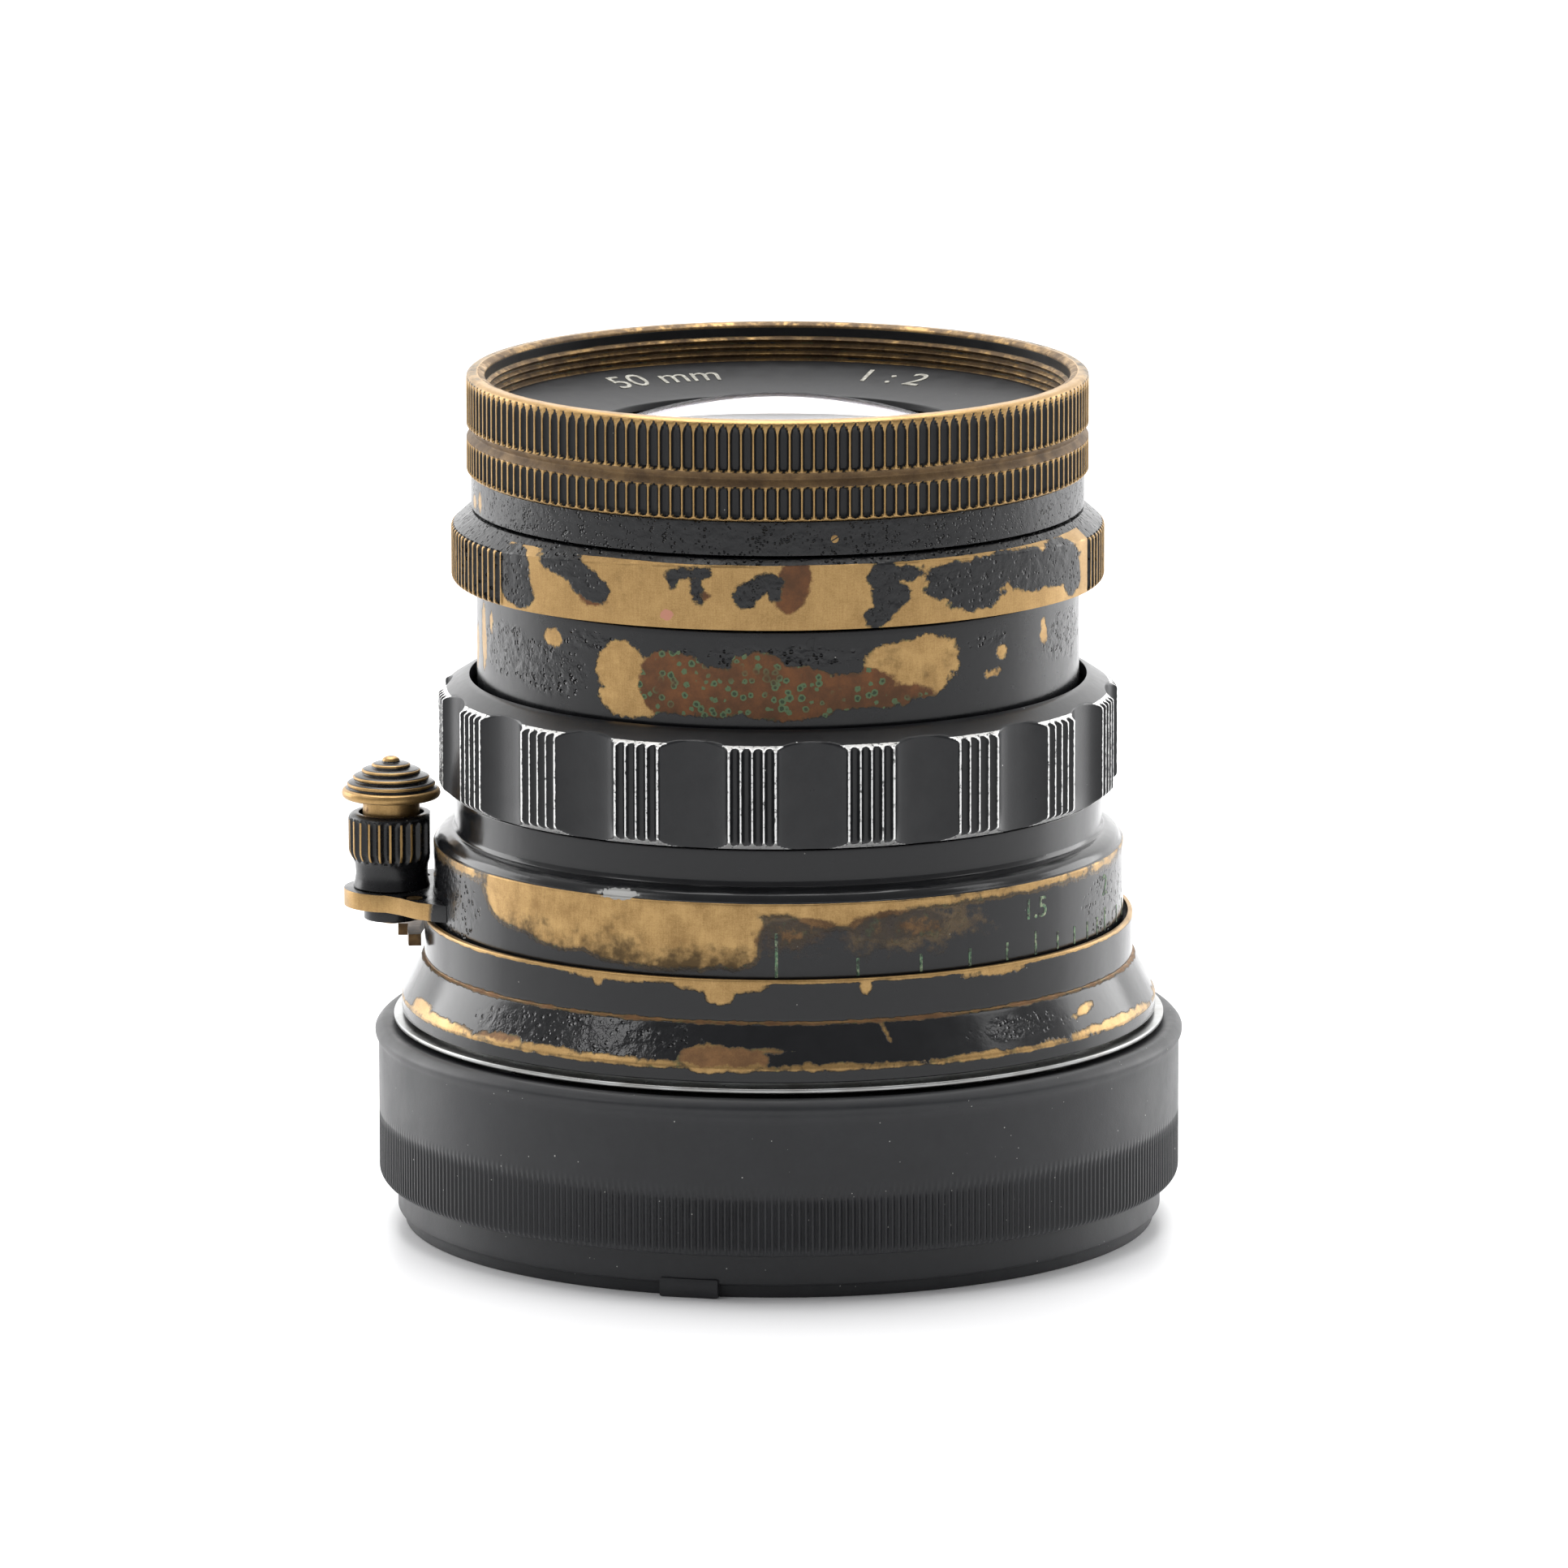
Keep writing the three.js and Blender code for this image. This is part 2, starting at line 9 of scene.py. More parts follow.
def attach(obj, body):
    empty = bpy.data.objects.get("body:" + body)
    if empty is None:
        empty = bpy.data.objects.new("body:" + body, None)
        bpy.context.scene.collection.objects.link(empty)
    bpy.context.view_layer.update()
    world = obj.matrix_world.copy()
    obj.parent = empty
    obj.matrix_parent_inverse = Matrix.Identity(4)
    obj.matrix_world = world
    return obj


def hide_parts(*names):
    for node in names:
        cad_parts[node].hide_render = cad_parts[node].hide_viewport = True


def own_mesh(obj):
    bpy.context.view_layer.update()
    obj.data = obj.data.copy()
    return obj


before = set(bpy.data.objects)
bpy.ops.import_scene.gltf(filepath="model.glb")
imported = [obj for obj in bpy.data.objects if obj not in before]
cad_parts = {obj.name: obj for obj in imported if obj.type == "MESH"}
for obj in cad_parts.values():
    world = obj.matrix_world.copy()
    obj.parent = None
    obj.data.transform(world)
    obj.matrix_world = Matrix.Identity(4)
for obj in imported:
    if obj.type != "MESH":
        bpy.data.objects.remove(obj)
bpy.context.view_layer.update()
scene = bpy.context.scene

# ---- camera -------------------------------------------------------------------------------
# A long lens looks down on the lens from 11 degrees, from the far side of its scales.
VIEW_ELEVATION = math.radians(11.07)
VIEW_DISTANCE = 0.964
VIEW_ROLL = math.radians(-0.1)
AIM = Vector((0.00039, 0, 0.02982))

camera = bpy.data.objects.new("camera", bpy.data.cameras.new("camera"))
scene.collection.objects.link(camera)
camera.data.lens = 326.4
camera.data.sensor_width = 36
camera.data.clip_end = 20
camera.location = AIM + VIEW_DISTANCE * Vector((0, -math.cos(VIEW_ELEVATION), math.sin(VIEW_ELEVATION)))
camera.matrix_world = (Matrix.Translation(camera.location)
                       @ Matrix.Rotation(math.pi / 2 - VIEW_ELEVATION, 4, "X")
                       @ Matrix.Rotation(VIEW_ROLL, 4, "Z"))
scene.camera = camera

# ---- rear cap -----------------------------------------------------------------------------
# A moulded cup of matt black plastic. It has a ribbed band for the fingers, a stepped foot with
# one key tab, and three lips inside its mouth that hold the lens by its bayonet lugs.
MM = 0.001
CAP_RADIUS = 27.2
CAP_RIM = 13.9
CAP_BORE = 24.3
RIB_COUNT = 380
RIB_DEPTH = 0.15
RIB_LOW, RIB_HIGH = 3.2, 7.45
RIB_RUN_OUT = 0.75
LIP_SPAN = 48


def turned_rows(outline, longest=0.5):
    """Rows (radius, height, wear) of a turning, in mm. A corner of the outline is (radius,
    height, rounding, wear); its wear is 1 where the finish has rubbed off the edge."""
    corners = [tuple(c) + (0.0,) * (4 - len(c)) for c in outline]
    open_ended = corners[0][0] == 0
    rows = []
    for i, (r, z, rounding, wear) in enumerate(corners):
        here = np.array((r, z))
        ends = [np.array(corners[(i + step) % len(corners)][:2]) for step in (-1, 1)]
        if rounding == 0 or (open_ended and i in (0, len(corners) - 1)):
            rows.append((r, z, wear))
            continue
        reach = [min(rounding, 0.45 * np.linalg.norm(end - here)) for end in ends]
        first, last = (here + (end - here) / np.linalg.norm(end - here) * far
                       for end, far in zip(ends, reach))
        for t in (0, 0.25, 0.5, 0.75, 1):
            point = (1 - t) ** 2 * first + 2 * t * (1 - t) * here + t ** 2 * last
            rows.append((*point, wear))
    filled = []
    pairs = zip(rows, rows[1:] if open_ended else rows[1:] + rows[:1])
    for a, b in pairs:
        length = math.hypot(b[0] - a[0], b[1] - a[1])
        pieces = max(1, math.ceil(length / longest))
        filled.append(a)
        for k in range(1, pieces):
            t = k / pieces
            filled.append((a[0] + (b[0] - a[0]) * t, a[1] + (b[1] - a[1]) * t, 0.0))
    if open_ended:
        filled.append(rows[-1])
    return np.array(filled)


def turn(name, outline, steps=256, longest=0.5, cut=None, field=None, at=(0, 0)):
    """A turned piece as a mesh. Angles run from -Y towards +X. cut(angle, radius, height) gives
    the radius after cutting, and field(angle, radius, height, wear, cut depth) the attributes."""
    rows = turned_rows(outline, longest)
    angles = np.linspace(-math.pi, math.pi, steps, endpoint=False) if np.isscalar(steps) else steps
    a, r = np.meshgrid(angles, rows[:, 0])
    z = np.repeat(rows[:, 1:2], len(angles), 1)
    wear = np.repeat(rows[:, 2:3], len(angles), 1)
    whole = r.copy()
    if cut:
        r = cut(a, r, z)
    x, y = r * np.sin(a) + at[0], -r * np.cos(a) + at[1]
    points = np.stack((x, y, z), -1)
    count, width = len(rows), len(angles)
    index = np.arange(count * width).reshape(count, width)
    solid = rows[0, 0] == 0
    low = np.arange(1, count - 2) if solid else np.arange(count)
    high = low + 1 if solid else (low + 1) % count
    right = np.roll(index, -1, 1)
    quads = np.stack((index[low], right[low], right[high], index[high]), -1).reshape(-1, 4)
    faces = [tuple(q) for q in quads.tolist()]
    if solid:
        for tip, edge, flip in ((0, 1, False), (count - 1, count - 2, True)):
            for k in range(width):
                pair = (index[edge, (k + 1) % width], index[edge, k])
                pair = pair[::-1] if flip else pair
                faces.append((int(index[tip, 0]), int(pair[0]), int(pair[1])))
    mesh = bpy.data.meshes.new(name)
    mesh.from_pydata((points.reshape(-1, 3) * MM).tolist(), [], faces)
    values = {"bare": np.full(r.shape, -1.5)}
    if field:
        values.update(field(a, r, z, wear, whole - r))
    for key, value in values.items():
        layer = mesh.attributes.new(key, "FLOAT", "POINT")
        layer.data.foreach_set("value", np.broadcast_to(value, r.shape).astype(np.float32).ravel())
    return finished(mesh)


def finished(mesh, sharp=35):
    """Links a mesh as an object, without stray points, smooth but for its sharp edges."""
    work = bmesh.new()
    work.from_mesh(mesh)
    loose = [v for v in work.verts if not v.link_faces]
    bmesh.ops.delete(work, geom=loose, context="VERTS")
    bmesh.ops.recalc_face_normals(work, faces=work.faces)
    work.to_mesh(mesh)
    work.free()
    mesh.polygons.foreach_set("use_smooth", [True] * len(mesh.polygons))
    mesh.set_sharp_from_angle(angle=math.radians(sharp))
    piece = bpy.data.objects.new(mesh.name, mesh)
    scene.collection.objects.link(piece)
    return piece


def block(name, outline, bottom, top, bevel=0.1, segments=2, sharp=35):
    """A flat piece in mm, from its outline in plan, with rounded edges."""
    work = bmesh.new()
    corners = [work.verts.new((x * MM, y * MM, bottom * MM)) for x, y in outline]
    base = work.faces.new(corners)
    raised = bmesh.ops.extrude_face_region(work, geom=[base])
    lifted = [v for v in raised["geom"] if isinstance(v, bmesh.types.BMVert)]
    bmesh.ops.translate(work, verts=lifted, vec=(0, 0, (top - bottom) * MM))
    bmesh.ops.recalc_face_normals(work, faces=work.faces)
    if bevel:
        rims = [e for e in work.edges if len({round(v.co.z / MM, 4) for v in e.verts}) == 1]
        bmesh.ops.bevel(work, geom=rims, offset=bevel * MM, segments=segments, affect="EDGES",
                        profile=0.5, clamp_overlap=True)
    mesh = bpy.data.meshes.new(name)
    work.to_mesh(mesh)
    work.free()
    return finished(mesh, sharp)


def arc(radius, start, end, steps, centre=(0, 0)):
    """Points on a circle; angles in degrees from +X."""
    for k in range(steps + 1):
        angle = math.radians(start + (end - start) * k / steps)
        yield centre[0] + radius * math.cos(angle), centre[1] + radius * math.sin(angle)


def sector(name, inner, outer, start, span, bottom, top, bevel=0.1):
    outline = [*arc(outer, start, start + span, 24), *arc(inner, start + span, start, 24)]
    return block(name, outline, bottom, top, bevel)


def rib_cut(a, r, z):
    end = np.clip(np.minimum(z - RIB_LOW, RIB_HIGH - z) / RIB_RUN_OUT, 0, 1)
    run = np.sqrt(1 - (1 - end) ** 2)
    turn_share = a * RIB_COUNT / (2 * math.pi) % 1
    groove = np.clip(1 - (np.abs(turn_share - 0.5) / 0.36) ** 2.5, 0, 1)
    on_band = (r > CAP_RADIUS - 0.4) & (z > RIB_LOW) & (z < RIB_HIGH)
    return r - np.where(on_band, RIB_DEPTH * groove * run, 0)


class Value:
    """A socket in a material. Sums and products of values add Math nodes to it."""

    def __init__(self, finish, socket):
        self.finish, self.socket = finish, socket

    def math(self, operation, *others):
        return self.finish.node("Math", {"operation": operation}, {
            i: other for i, other in enumerate((self, *others))})

    def __add__(self, other):
        return self.math("ADD", other)

    def __sub__(self, other):
        return self.math("SUBTRACT", other)

    def __rsub__(self, other):
        return (self * -1) + other

    def __mul__(self, other):
        return self.math("MULTIPLY", other)

    __radd__, __rmul__ = __add__, __mul__

    def most(self, other):
        return self.math("MAXIMUM", other)

    def size(self):
        return self.math("ABSOLUTE")

    def step(self, low, high):
        """0 below low and 1 above high, smooth in between."""
        return self.finish.node("MapRange", {"interpolation_type": "SMOOTHSTEP"}, {
            "Value": self, "From Min": low, "From Max": high})


class Finish:
    """One material: its shader and the nodes that feed it. Lengths in its patterns are in mm."""

    def __init__(self, name, **constants):
        self.material = bpy.data.materials.new(name)
        self.material.use_nodes = True
        self.tree = self.material.node_tree
        self.shader = self.tree.nodes["Principled BSDF"]
        for key, value in constants.items():
            self.shader.inputs[key.replace("_", " ")].default_value = value
        coordinates = self.node("TexCoord", out="Object")
        self.place = self.node("VectorMath", {"operation": "SCALE"}, {0: coordinates, "Scale": 1000})

    def node(self, kind, settings=None, sockets=None, out=0):
        node = self.tree.nodes.new("ShaderNode" + kind)
        for key, value in (settings or {}).items():
            setattr(node, key, value)
        for key, value in (sockets or {}).items():
            if isinstance(value, Value):
                self.tree.links.new(value.socket, node.inputs[key])
            else:
                node.inputs[key].default_value = value
        return Value(self, node.outputs[out])

    def attribute(self, name):
        return self.node("Attribute", {"attribute_name": name}, out="Fac")

    def scaled(self, x, y, z):
        return self.node("VectorMath", {"operation": "MULTIPLY"}, {0: self.place, 1: (x, y, z)})

    def noise(self, scale, detail=2, roughness=0.5, place=None):
        """Cloudy pattern about 0, mostly between -0.3 and 0.3; scale is in lumps per mm."""
        pattern = self.node("TexNoise", None, {
            "Vector": place or self.place, "Scale": scale, "Detail": detail, "Roughness": roughness})
        return pattern - 0.5

    def dots(self, spacing, randomness=1.0):
        """Distance in mm to the nearest of many points about spacing apart."""
        pattern = self.node("TexVoronoi", {"feature": "F1"}, {
            "Vector": self.place, "Scale": 1 / spacing, "Randomness": randomness})
        return pattern * spacing

    def mix(self, share, first, second):
        """Colours: first where share is 0, second where it is 1."""
        sockets = {0: share, 6: as_colour(first), 7: as_colour(second)}
        return self.node("Mix", {"data_type": "RGBA"}, sockets, out=2)

    def blend(self, share, first, second):
        return self.node("Mix", {"data_type": "FLOAT"}, {0: share, 2: first, 3: second})

    def bump(self, height, distance=1.0):
        """Sets the relief: height is in mm."""
        relief = self.node("Bump", None, {
            "Height": height * MM, "Distance": distance, "Strength": 1.0}, out="Normal")
        self.set("Normal", relief)

    def set(self, name, value):
        self.tree.links.new(value.socket, self.shader.inputs[name])
        return self

    def on(self, *pieces):
        for piece in pieces:
            piece.data.materials.clear()
            piece.data.materials.append(self.material)
            for polygon in piece.data.polygons:
                polygon.material_index = 0


def as_colour(value):
    return value if isinstance(value, Value) else (*value, 1.0)


def fit(piece, body, slot, *nodes):
    """Says which CAD body a piece rides on and the CAD nodes it stands for; the slot, its finish, is not
    used.
    """
    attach(piece, body)
    if nodes:
        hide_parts(*nodes)
    return piece


rib_phase = np.array([0, 0.12, 0.26, 0.5, 0.74, 0.88])
rib_angles = ((np.arange(RIB_COUNT)[:, None] + rib_phase) / RIB_COUNT).ravel() * 2 * math.pi - math.pi
cap = turn("rear_cap", [
    (0, 0), (25.45, 0, 0.15), (25.6, 0.9, 0.1), (25.95, 0.95, 0.12), (25.95, 3.05, 0.1),
    (26.9, 3.1, 0.15), (CAP_RADIUS, 3.5, 0.3), (CAP_RADIUS, 12.5, 0.4), (27.44, 12.95, 0.2),
    (27.44, 13.3, 0.3), (26.9, CAP_RIM - 0.05, 0.3), (25.9, CAP_RIM - 0.25, 0.2),
    (25.2, 13.65, 0.15), (CAP_BORE, 12.8, 0.2), (CAP_BORE, 1.6, 0.4), (0, 1.6),
], steps=rib_angles, longest=0.45, cut=rib_cut)
cap_tab = block("rear_cap_tab", [(24.9, -1.98), (26.15, -1.98), (26.15, 1.98), (24.9, 1.98)],
                0.02, 1.3, 0.12)
cap_tab.data.transform(Matrix.Rotation(math.radians(-103.3), 4, "Z"))
cap_lips = [sector(f"rear_cap_lip_{k + 1}", 20.9, CAP_BORE + 0.3, 60 + 120 * k, LIP_SPAN, 10.8, 12.2)
            for k in range(3)]

cap_plastic = Finish("cap_plastic", Roughness=0.5, IOR=1.46, Specular_IOR_Level=0.42)
speck = cap_plastic.dots(0.9)
dust = (speck * -1 + 0.045 + cap_plastic.noise(0.5) * 0.08).step(0, 0.015)
film = (cap_plastic.noise(0.25, 5, 0.65) + 0.05).step(-0.2, 0.4)
plastic = cap_plastic.mix(film, (0.0115, 0.012, 0.0138), (0.0205, 0.0215, 0.0238))
cap_plastic.set("Base Color", cap_plastic.mix(dust, plastic, (0.32, 0.32, 0.30)))
cap_plastic.set("Roughness", film * 0.12 + dust * 0.3 + 0.40)
cap_plastic.bump(cap_plastic.noise(9, 3) * 0.006 + cap_plastic.noise(0.6, 2) * 0.02)
cap_plastic.on(cap, cap_tab, *cap_lips)

fit(cap, "cap", "black_plastic", "rear_cap")
for piece in (cap_tab, *cap_lips):
    fit(piece, "cap", "black_plastic")

# ---- mount flange -------------------------------------------------------------------------
# One turning of chrome-plated brass: the flange that seats on the camera, the bayonet throat
# with three lugs, and the tube that carries the focusing thread. Four screws go through it.
FLANGE_Z = 14.0
THROAT_RADIUS = 20.6
flange = turn("mount_flange", [
    (19.7, 8.6, 0.15), (THROAT_RADIUS, 8.6, 0.15), (THROAT_RADIUS, FLANGE_Z, 0.1),
    (26.15, FLANGE_Z, 0.1), (26.15, 14.32, 0.1), (24.7, 14.32), (24.7, 14.9), (20.5, 14.9),
    (20.5, 29.0, 0.1), (19.7, 29.0, 0.1),
], steps=256, longest=2)


def peg(radius, low, high, at=(0, 0)):
    """A round pin in mm, to cut a hole with."""
    outline = [(0, low), (radius, low), (radius, high), (0, high)]
    return turn("cutter", outline, steps=32, longest=99, at=at)


def cut_out(piece, *cutters):
    """Takes the cutters out of a piece, and throws them away."""
    for cutter in cutters:
        change = piece.modifiers.new("cut", "BOOLEAN")
        change.operation = "DIFFERENCE"
        change.solver = "EXACT"
        change.object = cutter
    bpy.context.view_layer.update()
    after = piece.evaluated_get(bpy.context.evaluated_depsgraph_get())
    mesh = bpy.data.meshes.new_from_object(after)
    piece.modifiers.clear()
    mesh.name = piece.name
    piece.data = mesh
    for cutter in cutters:
        bpy.data.objects.remove(cutter)
    mesh.polygons.foreach_set("use_smooth", [True] * len(mesh.polygons))
    mesh.set_sharp_from_angle(angle=math.radians(35))
    return piece


screw_places = [(22.9 * math.cos(turn_to), 22.9 * math.sin(turn_to))
                for turn_to in (math.pi / 4 + math.pi / 2 * k for k in range(4))]
cut_out(flange, *[peg(1.4, 13, 16, place) for place in screw_places])
lugs = [sector(f"bayonet_lug_{k + 1}", THROAT_RADIUS - 0.3, 21.9, 120 * k, LIP_SPAN, 8.9, 10.2)
        for k in range(3)]

chrome = Finish("satin_chrome", Metallic=1.0)
chrome.set("Base Color", chrome.mix((chrome.noise(0.4, 4) + 0.1).step(-0.3, 0.5),
                                    (0.40, 0.41, 0.41), (0.24, 0.235, 0.22)))
chrome.set("Roughness", chrome.noise(2, 3) * 0.15 + 0.30)
chrome.bump(chrome.noise(3, 2) * 0.002)
chrome.on(flange, *lugs)
fit(flange, "mount", "chrome", "mount_flange")
for lug in lugs:
    fit(lug, "mount", "chrome")

# ---- fixed ring ---------------------------------------------------------------------------
# Brass under black lacquer. Its thin lip hides the foot of the distance scale, and a line and a
# cone lead down to the mount. Years in a bag have rubbed the lip, the line and the cone's foot.
LIP_RADIUS = 24.04
LIP_TOP = 21.25
LINE_HEIGHT = 18.36


def spot(a, z, radius, angle, height, half_width, half_height, tilt=0):
    """How far inside a worn spot a place is, in mm; angle in degrees, the rest in mm."""
    across = ((a - math.radians(angle) + math.pi) % (2 * math.pi) - math.pi) * radius
    up = z - height
    turned_by = math.radians(tilt)
    along = across * math.cos(turned_by) + up * math.sin(turned_by)
    other = up * math.cos(turned_by) - across * math.sin(turned_by)
    return (1 - np.hypot(along / half_width, other / half_height)) * min(half_width, half_height)


def spots(a, z, radius, places):
    return np.max([spot(a, z, radius, *place) for place in places], 0)


def edge_wear(wear, reach=0.9):
    return np.where(wear > 0, (wear - 0.62) * reach, -0.85)


FIXED_BARE = [
    (-9, 21.0, 3.4, 0.75), (-9.5, 20.45, 1.2, 0.9), (14, 20.7, 0.5, 0.6), (-27, 21.1, 4.6, 0.42),
    (-30, 20.7, 0.4, 0.5), (-10.6, 16.1, 2.1, 0.95), (-6, 16.1, 2.1, 0.8), (-3, 16.65, 2.2, 0.2),
    (17, 17.5, 0.16, 0.9, 24), (55, 17.1, 1.5, 0.28, 12), (62, 15.8, 6.5, 0.36), (-38, 15.8, 3.4, 0.34),
    (-47, 15.9, 2.6, 0.4), (-27, 15.7, 3.8, 0.3), (-62, 15.8, 4, 0.4), (-72, 16.1, 1.8, 0.5),
    (-18, 15.7, 2.4, 0.3), (37, 20.9, 2.6, 0.35), (30, 15.65, 4, 0.24), (8, 15.65, 5, 0.26),
    (150, 20.7, 3, 0.7), (205, 16.2, 5, 0.6), (100, 15.9, 6, 0.4), (250, 15.9, 5, 0.45),
]
FIXED_COPPER = [(-8.5, 16.3, 4.4, 0.62), (-50, 16.3, 3, 0.5), (205, 16.2, 6, 1.5)]


def fixed_field(a, r, z, wear, depth):
    line = 0.16 - np.abs(z - LINE_HEIGHT) * 1.4
    lip = np.where(r > 23.6, 0.26 - (LIP_TOP - z) * 1.2, -1)
    return {
        "bare": np.maximum.reduce([spots(a, z, 24.6, FIXED_BARE), edge_wear(wear, 0.7), line, lip]),
        "copper": np.maximum(spots(a, z, 24.6, FIXED_COPPER), np.where(line > -0.1, 0.05, -1)),
        "pitted": spots(a, z, 24.6, [(-32, 17, 11, 1.6), (40, 17, 5, 1), (200, 17, 9, 1.6)]) * 0.8,
    }


fixed_ring = turn("fixed_ring", [
    (21.4, 15.2), (25.0, 15.2), (25.0, 14.6), (25.6, 14.6, 0.1, 0.4), (25.6, 15.6, 0.12, 0.75),
    (24.22, 18.28, 0.08, 0.5), (24.0, LINE_HEIGHT, 0.08), (LIP_RADIUS, 18.6, 0.1),
    (LIP_RADIUS, LIP_TOP, 0.14, 1), (23.7, LIP_TOP, 0.06, 1), (23.7, 19.6), (21.4, 19.6),
], steps=1080, longest=0.18, field=fixed_field)


def lacquered(name, pits=0.5, pit_size=0.42, gloss=0.24, grain=1.0, tarnish=0.5, soft=0.03,
              verdigris=0.0, brown_pair=((0.16, 0.062, 0.022), (0.085, 0.04, 0.019))):
    """Black lacquer on brass. The bare attribute says how many mm inside a worn place a point
    lies, copper where the metal has gone brown, smoke where it is stained, and pitted where the
    lacquer has blistered."""
    finish = Finish(name, IOR=1.45, Specular_IOR_Level=0.4)
    ragged = (finish.noise(0.8) * 1.5 + finish.noise(2.4, 4, 0.6) * 1.1 + finish.noise(9, 2) * 0.3)
    inside = finish.attribute("bare") + ragged * grain * 0.5
    bare = inside.step(-soft, soft)
    rim = (inside.size() * -1 + 0.15).step(0, 0.14)
    brown = (finish.attribute("copper") + ragged * 0.4).step(-0.1, 0.12)
    clouds = finish.noise(0.7, 5, 0.62)
    fine = finish.noise(12, 3)
    upright = finish.noise(1, place=finish.scaled(9, 9, 0.8))
    level = finish.noise(1, place=finish.scaled(2, 2, 18))
    scratches = upright + level

    brass = finish.mix((clouds * tarnish + fine * 0.5 + scratches * 0.25 + 0.05).step(-0.3, 0.4),
                       (0.44, 0.285, 0.118), (0.25, 0.152, 0.06))
    smoke = finish.attribute("smoke") - 0.14
    stain = (finish.noise(0.33, 4, 0.6) * 1.4 + finish.noise(1.3, 4, 0.6) * 0.8
             + smoke).step(-0.08, 0.42)
    brass = finish.mix(stain * tarnish, brass, (0.075, 0.05, 0.025))
    copper = finish.mix((clouds + fine * 0.3 + 0.1).step(-0.2, 0.3), *brown_pair)
    metal = finish.mix(brown, brass, copper)
    halo = finish.mix((finish.noise(1.7, 2) * 2).step(0.1, 0.5),
                      (0.05, 0.036, 0.018), (0.06, 0.085, 0.035))
    metal = finish.mix(rim * 0.8, metal, halo)
    if verdigris:
        place = finish.dots(0.62) + finish.noise(7, 3) * 0.16
        crumbs = (place * -1 + 0.25 + finish.noise(0.9) * 0.35).step(0, 0.04)
        core = (place * -1 + 0.15 + finish.noise(0.9) * 0.3).step(0, 0.05)
        crust = crumbs * (finish.noise(0.4, 2) * 3 + verdigris).step(0, 0.5) * brown.step(0.3, 0.8)
        green = finish.mix(core, (0.085, 0.13, 0.065), (0.035, 0.05, 0.028))
        metal = finish.mix(crust, metal, green)
    speck = (finish.dots(1.6) * -1 + 0.05 + finish.noise(0.8) * 0.06).step(0, 0.02)
    haze = (clouds + 0.05).step(-0.3, 0.4)
    lacquer = finish.mix(haze, (0.0052, 0.0055, 0.0064), (0.0092, 0.0096, 0.0108))
    lacquer = finish.mix(speck, lacquer, (0.22, 0.22, 0.2))
    finish.set("Base Color", finish.mix(bare, lacquer, metal))
    finish.set("Metallic", bare * (brown * -0.55 + 0.92) * (rim * -0.5 + 1))
    worn_roughness = brown * 0.2 + clouds * 0.2 + 0.4
    finish.set("Roughness", finish.blend(bare, haze * 0.1 + gloss, worn_roughness))
    pitted = (finish.attribute("pitted") + finish.noise(0.35, 3) * 0.7).step(0.1, 0.5)
    blisters = (finish.dots(pit_size) * -1 + pit_size * 0.32 + finish.noise(1.1, 2) * 0.35).step(0, 0.1)
    skin = finish.noise(1.3, 3) * 0.055 + finish.noise(6, 2) * 0.006
    film = (skin * (pitted * pits + 0.12) - blisters * pitted * pits * 0.16) * (1 - bare)
    finish.bump(film + (1 - bare) * 0.035 + (fine + scratches) * bare * 0.004)
    return finish


glossy_lacquer = lacquered("glossy_lacquer", pits=1.5, gloss=0.12, grain=0.62, tarnish=0.6,
                           brown_pair=((0.25, 0.13, 0.052), (0.13, 0.068, 0.03)))
glossy_lacquer.on(fixed_ring)
fit(fixed_ring, "mount", "black_paint", "fixed_ring")

steel = Finish("satin_steel", Metallic=1.0)
steel.set("Base Color", steel.mix((steel.noise(2, 4) + 0.1).step(-0.3, 0.4),
                                  (0.50, 0.49, 0.47), (0.25, 0.23, 0.20)))
steel.set("Roughness", steel.noise(4, 3) * 0.25 + 0.36)
steel.bump(steel.noise(1, 2, 0.5, steel.scaled(3, 20, 20)) * 0.01)

# ---- focusing ring ------------------------------------------------------------------------
# Lacquered brass with a rounded shoulder. The distance scale is engraved along its foot, and
# the side that meets the thumb is worn through to mottled brass.
SCALE_RADIUS = 23.4
SCALE_TOP = 26.22
INFINITY_ANGLE = 133
SCALE_SPREAD = 120
NEAR_OFFSET = 0.1
SCALE_BARE = [
    (-48, 25.4, 3.8, 2.4), (-38, 25.2, 5.2, 2.9), (-26, 25.0, 5.6, 3.1), (-14, 24.9, 4.8, 3.2),
    (-20, 23.0, 5.2, 1.3), (-7.5, 23.3, 1.7, 1.5), (-3, 26.0, 6, 0.55), (9.3, 25.6, 2.8, 1.1),
    (14, 25.8, 4, 0.75), (24, 26.0, 5.4, 0.4), (44, 26.05, 10, 0.34), (68, 26.0, 4, 0.3),
    (160, 24.8, 5, 2.0), (230, 24.9, 6, 2.0), (235, 23.5, 2, 1.3), (-64, 26.0, 5, 0.3),
]
SCALE_COPPER = [(4, 24.0, 3.2, 1.3), (20, 24.6, 3.6, 1.0)]
SHOULDER_CHIP = [(-27.5, 26.45, 1.4, 0.36), (-24.5, 26.5, 0.5, 0.2)]
SCALE_PITTED = [(-72, 23.4, 6, 2.6), (72, 23.4, 5, 2.4), (190, 23, 8, 2.4)]
SPECKLED = [(22, 24.4, 7, 2.2), (3, 24.4, 4, 2.0)]


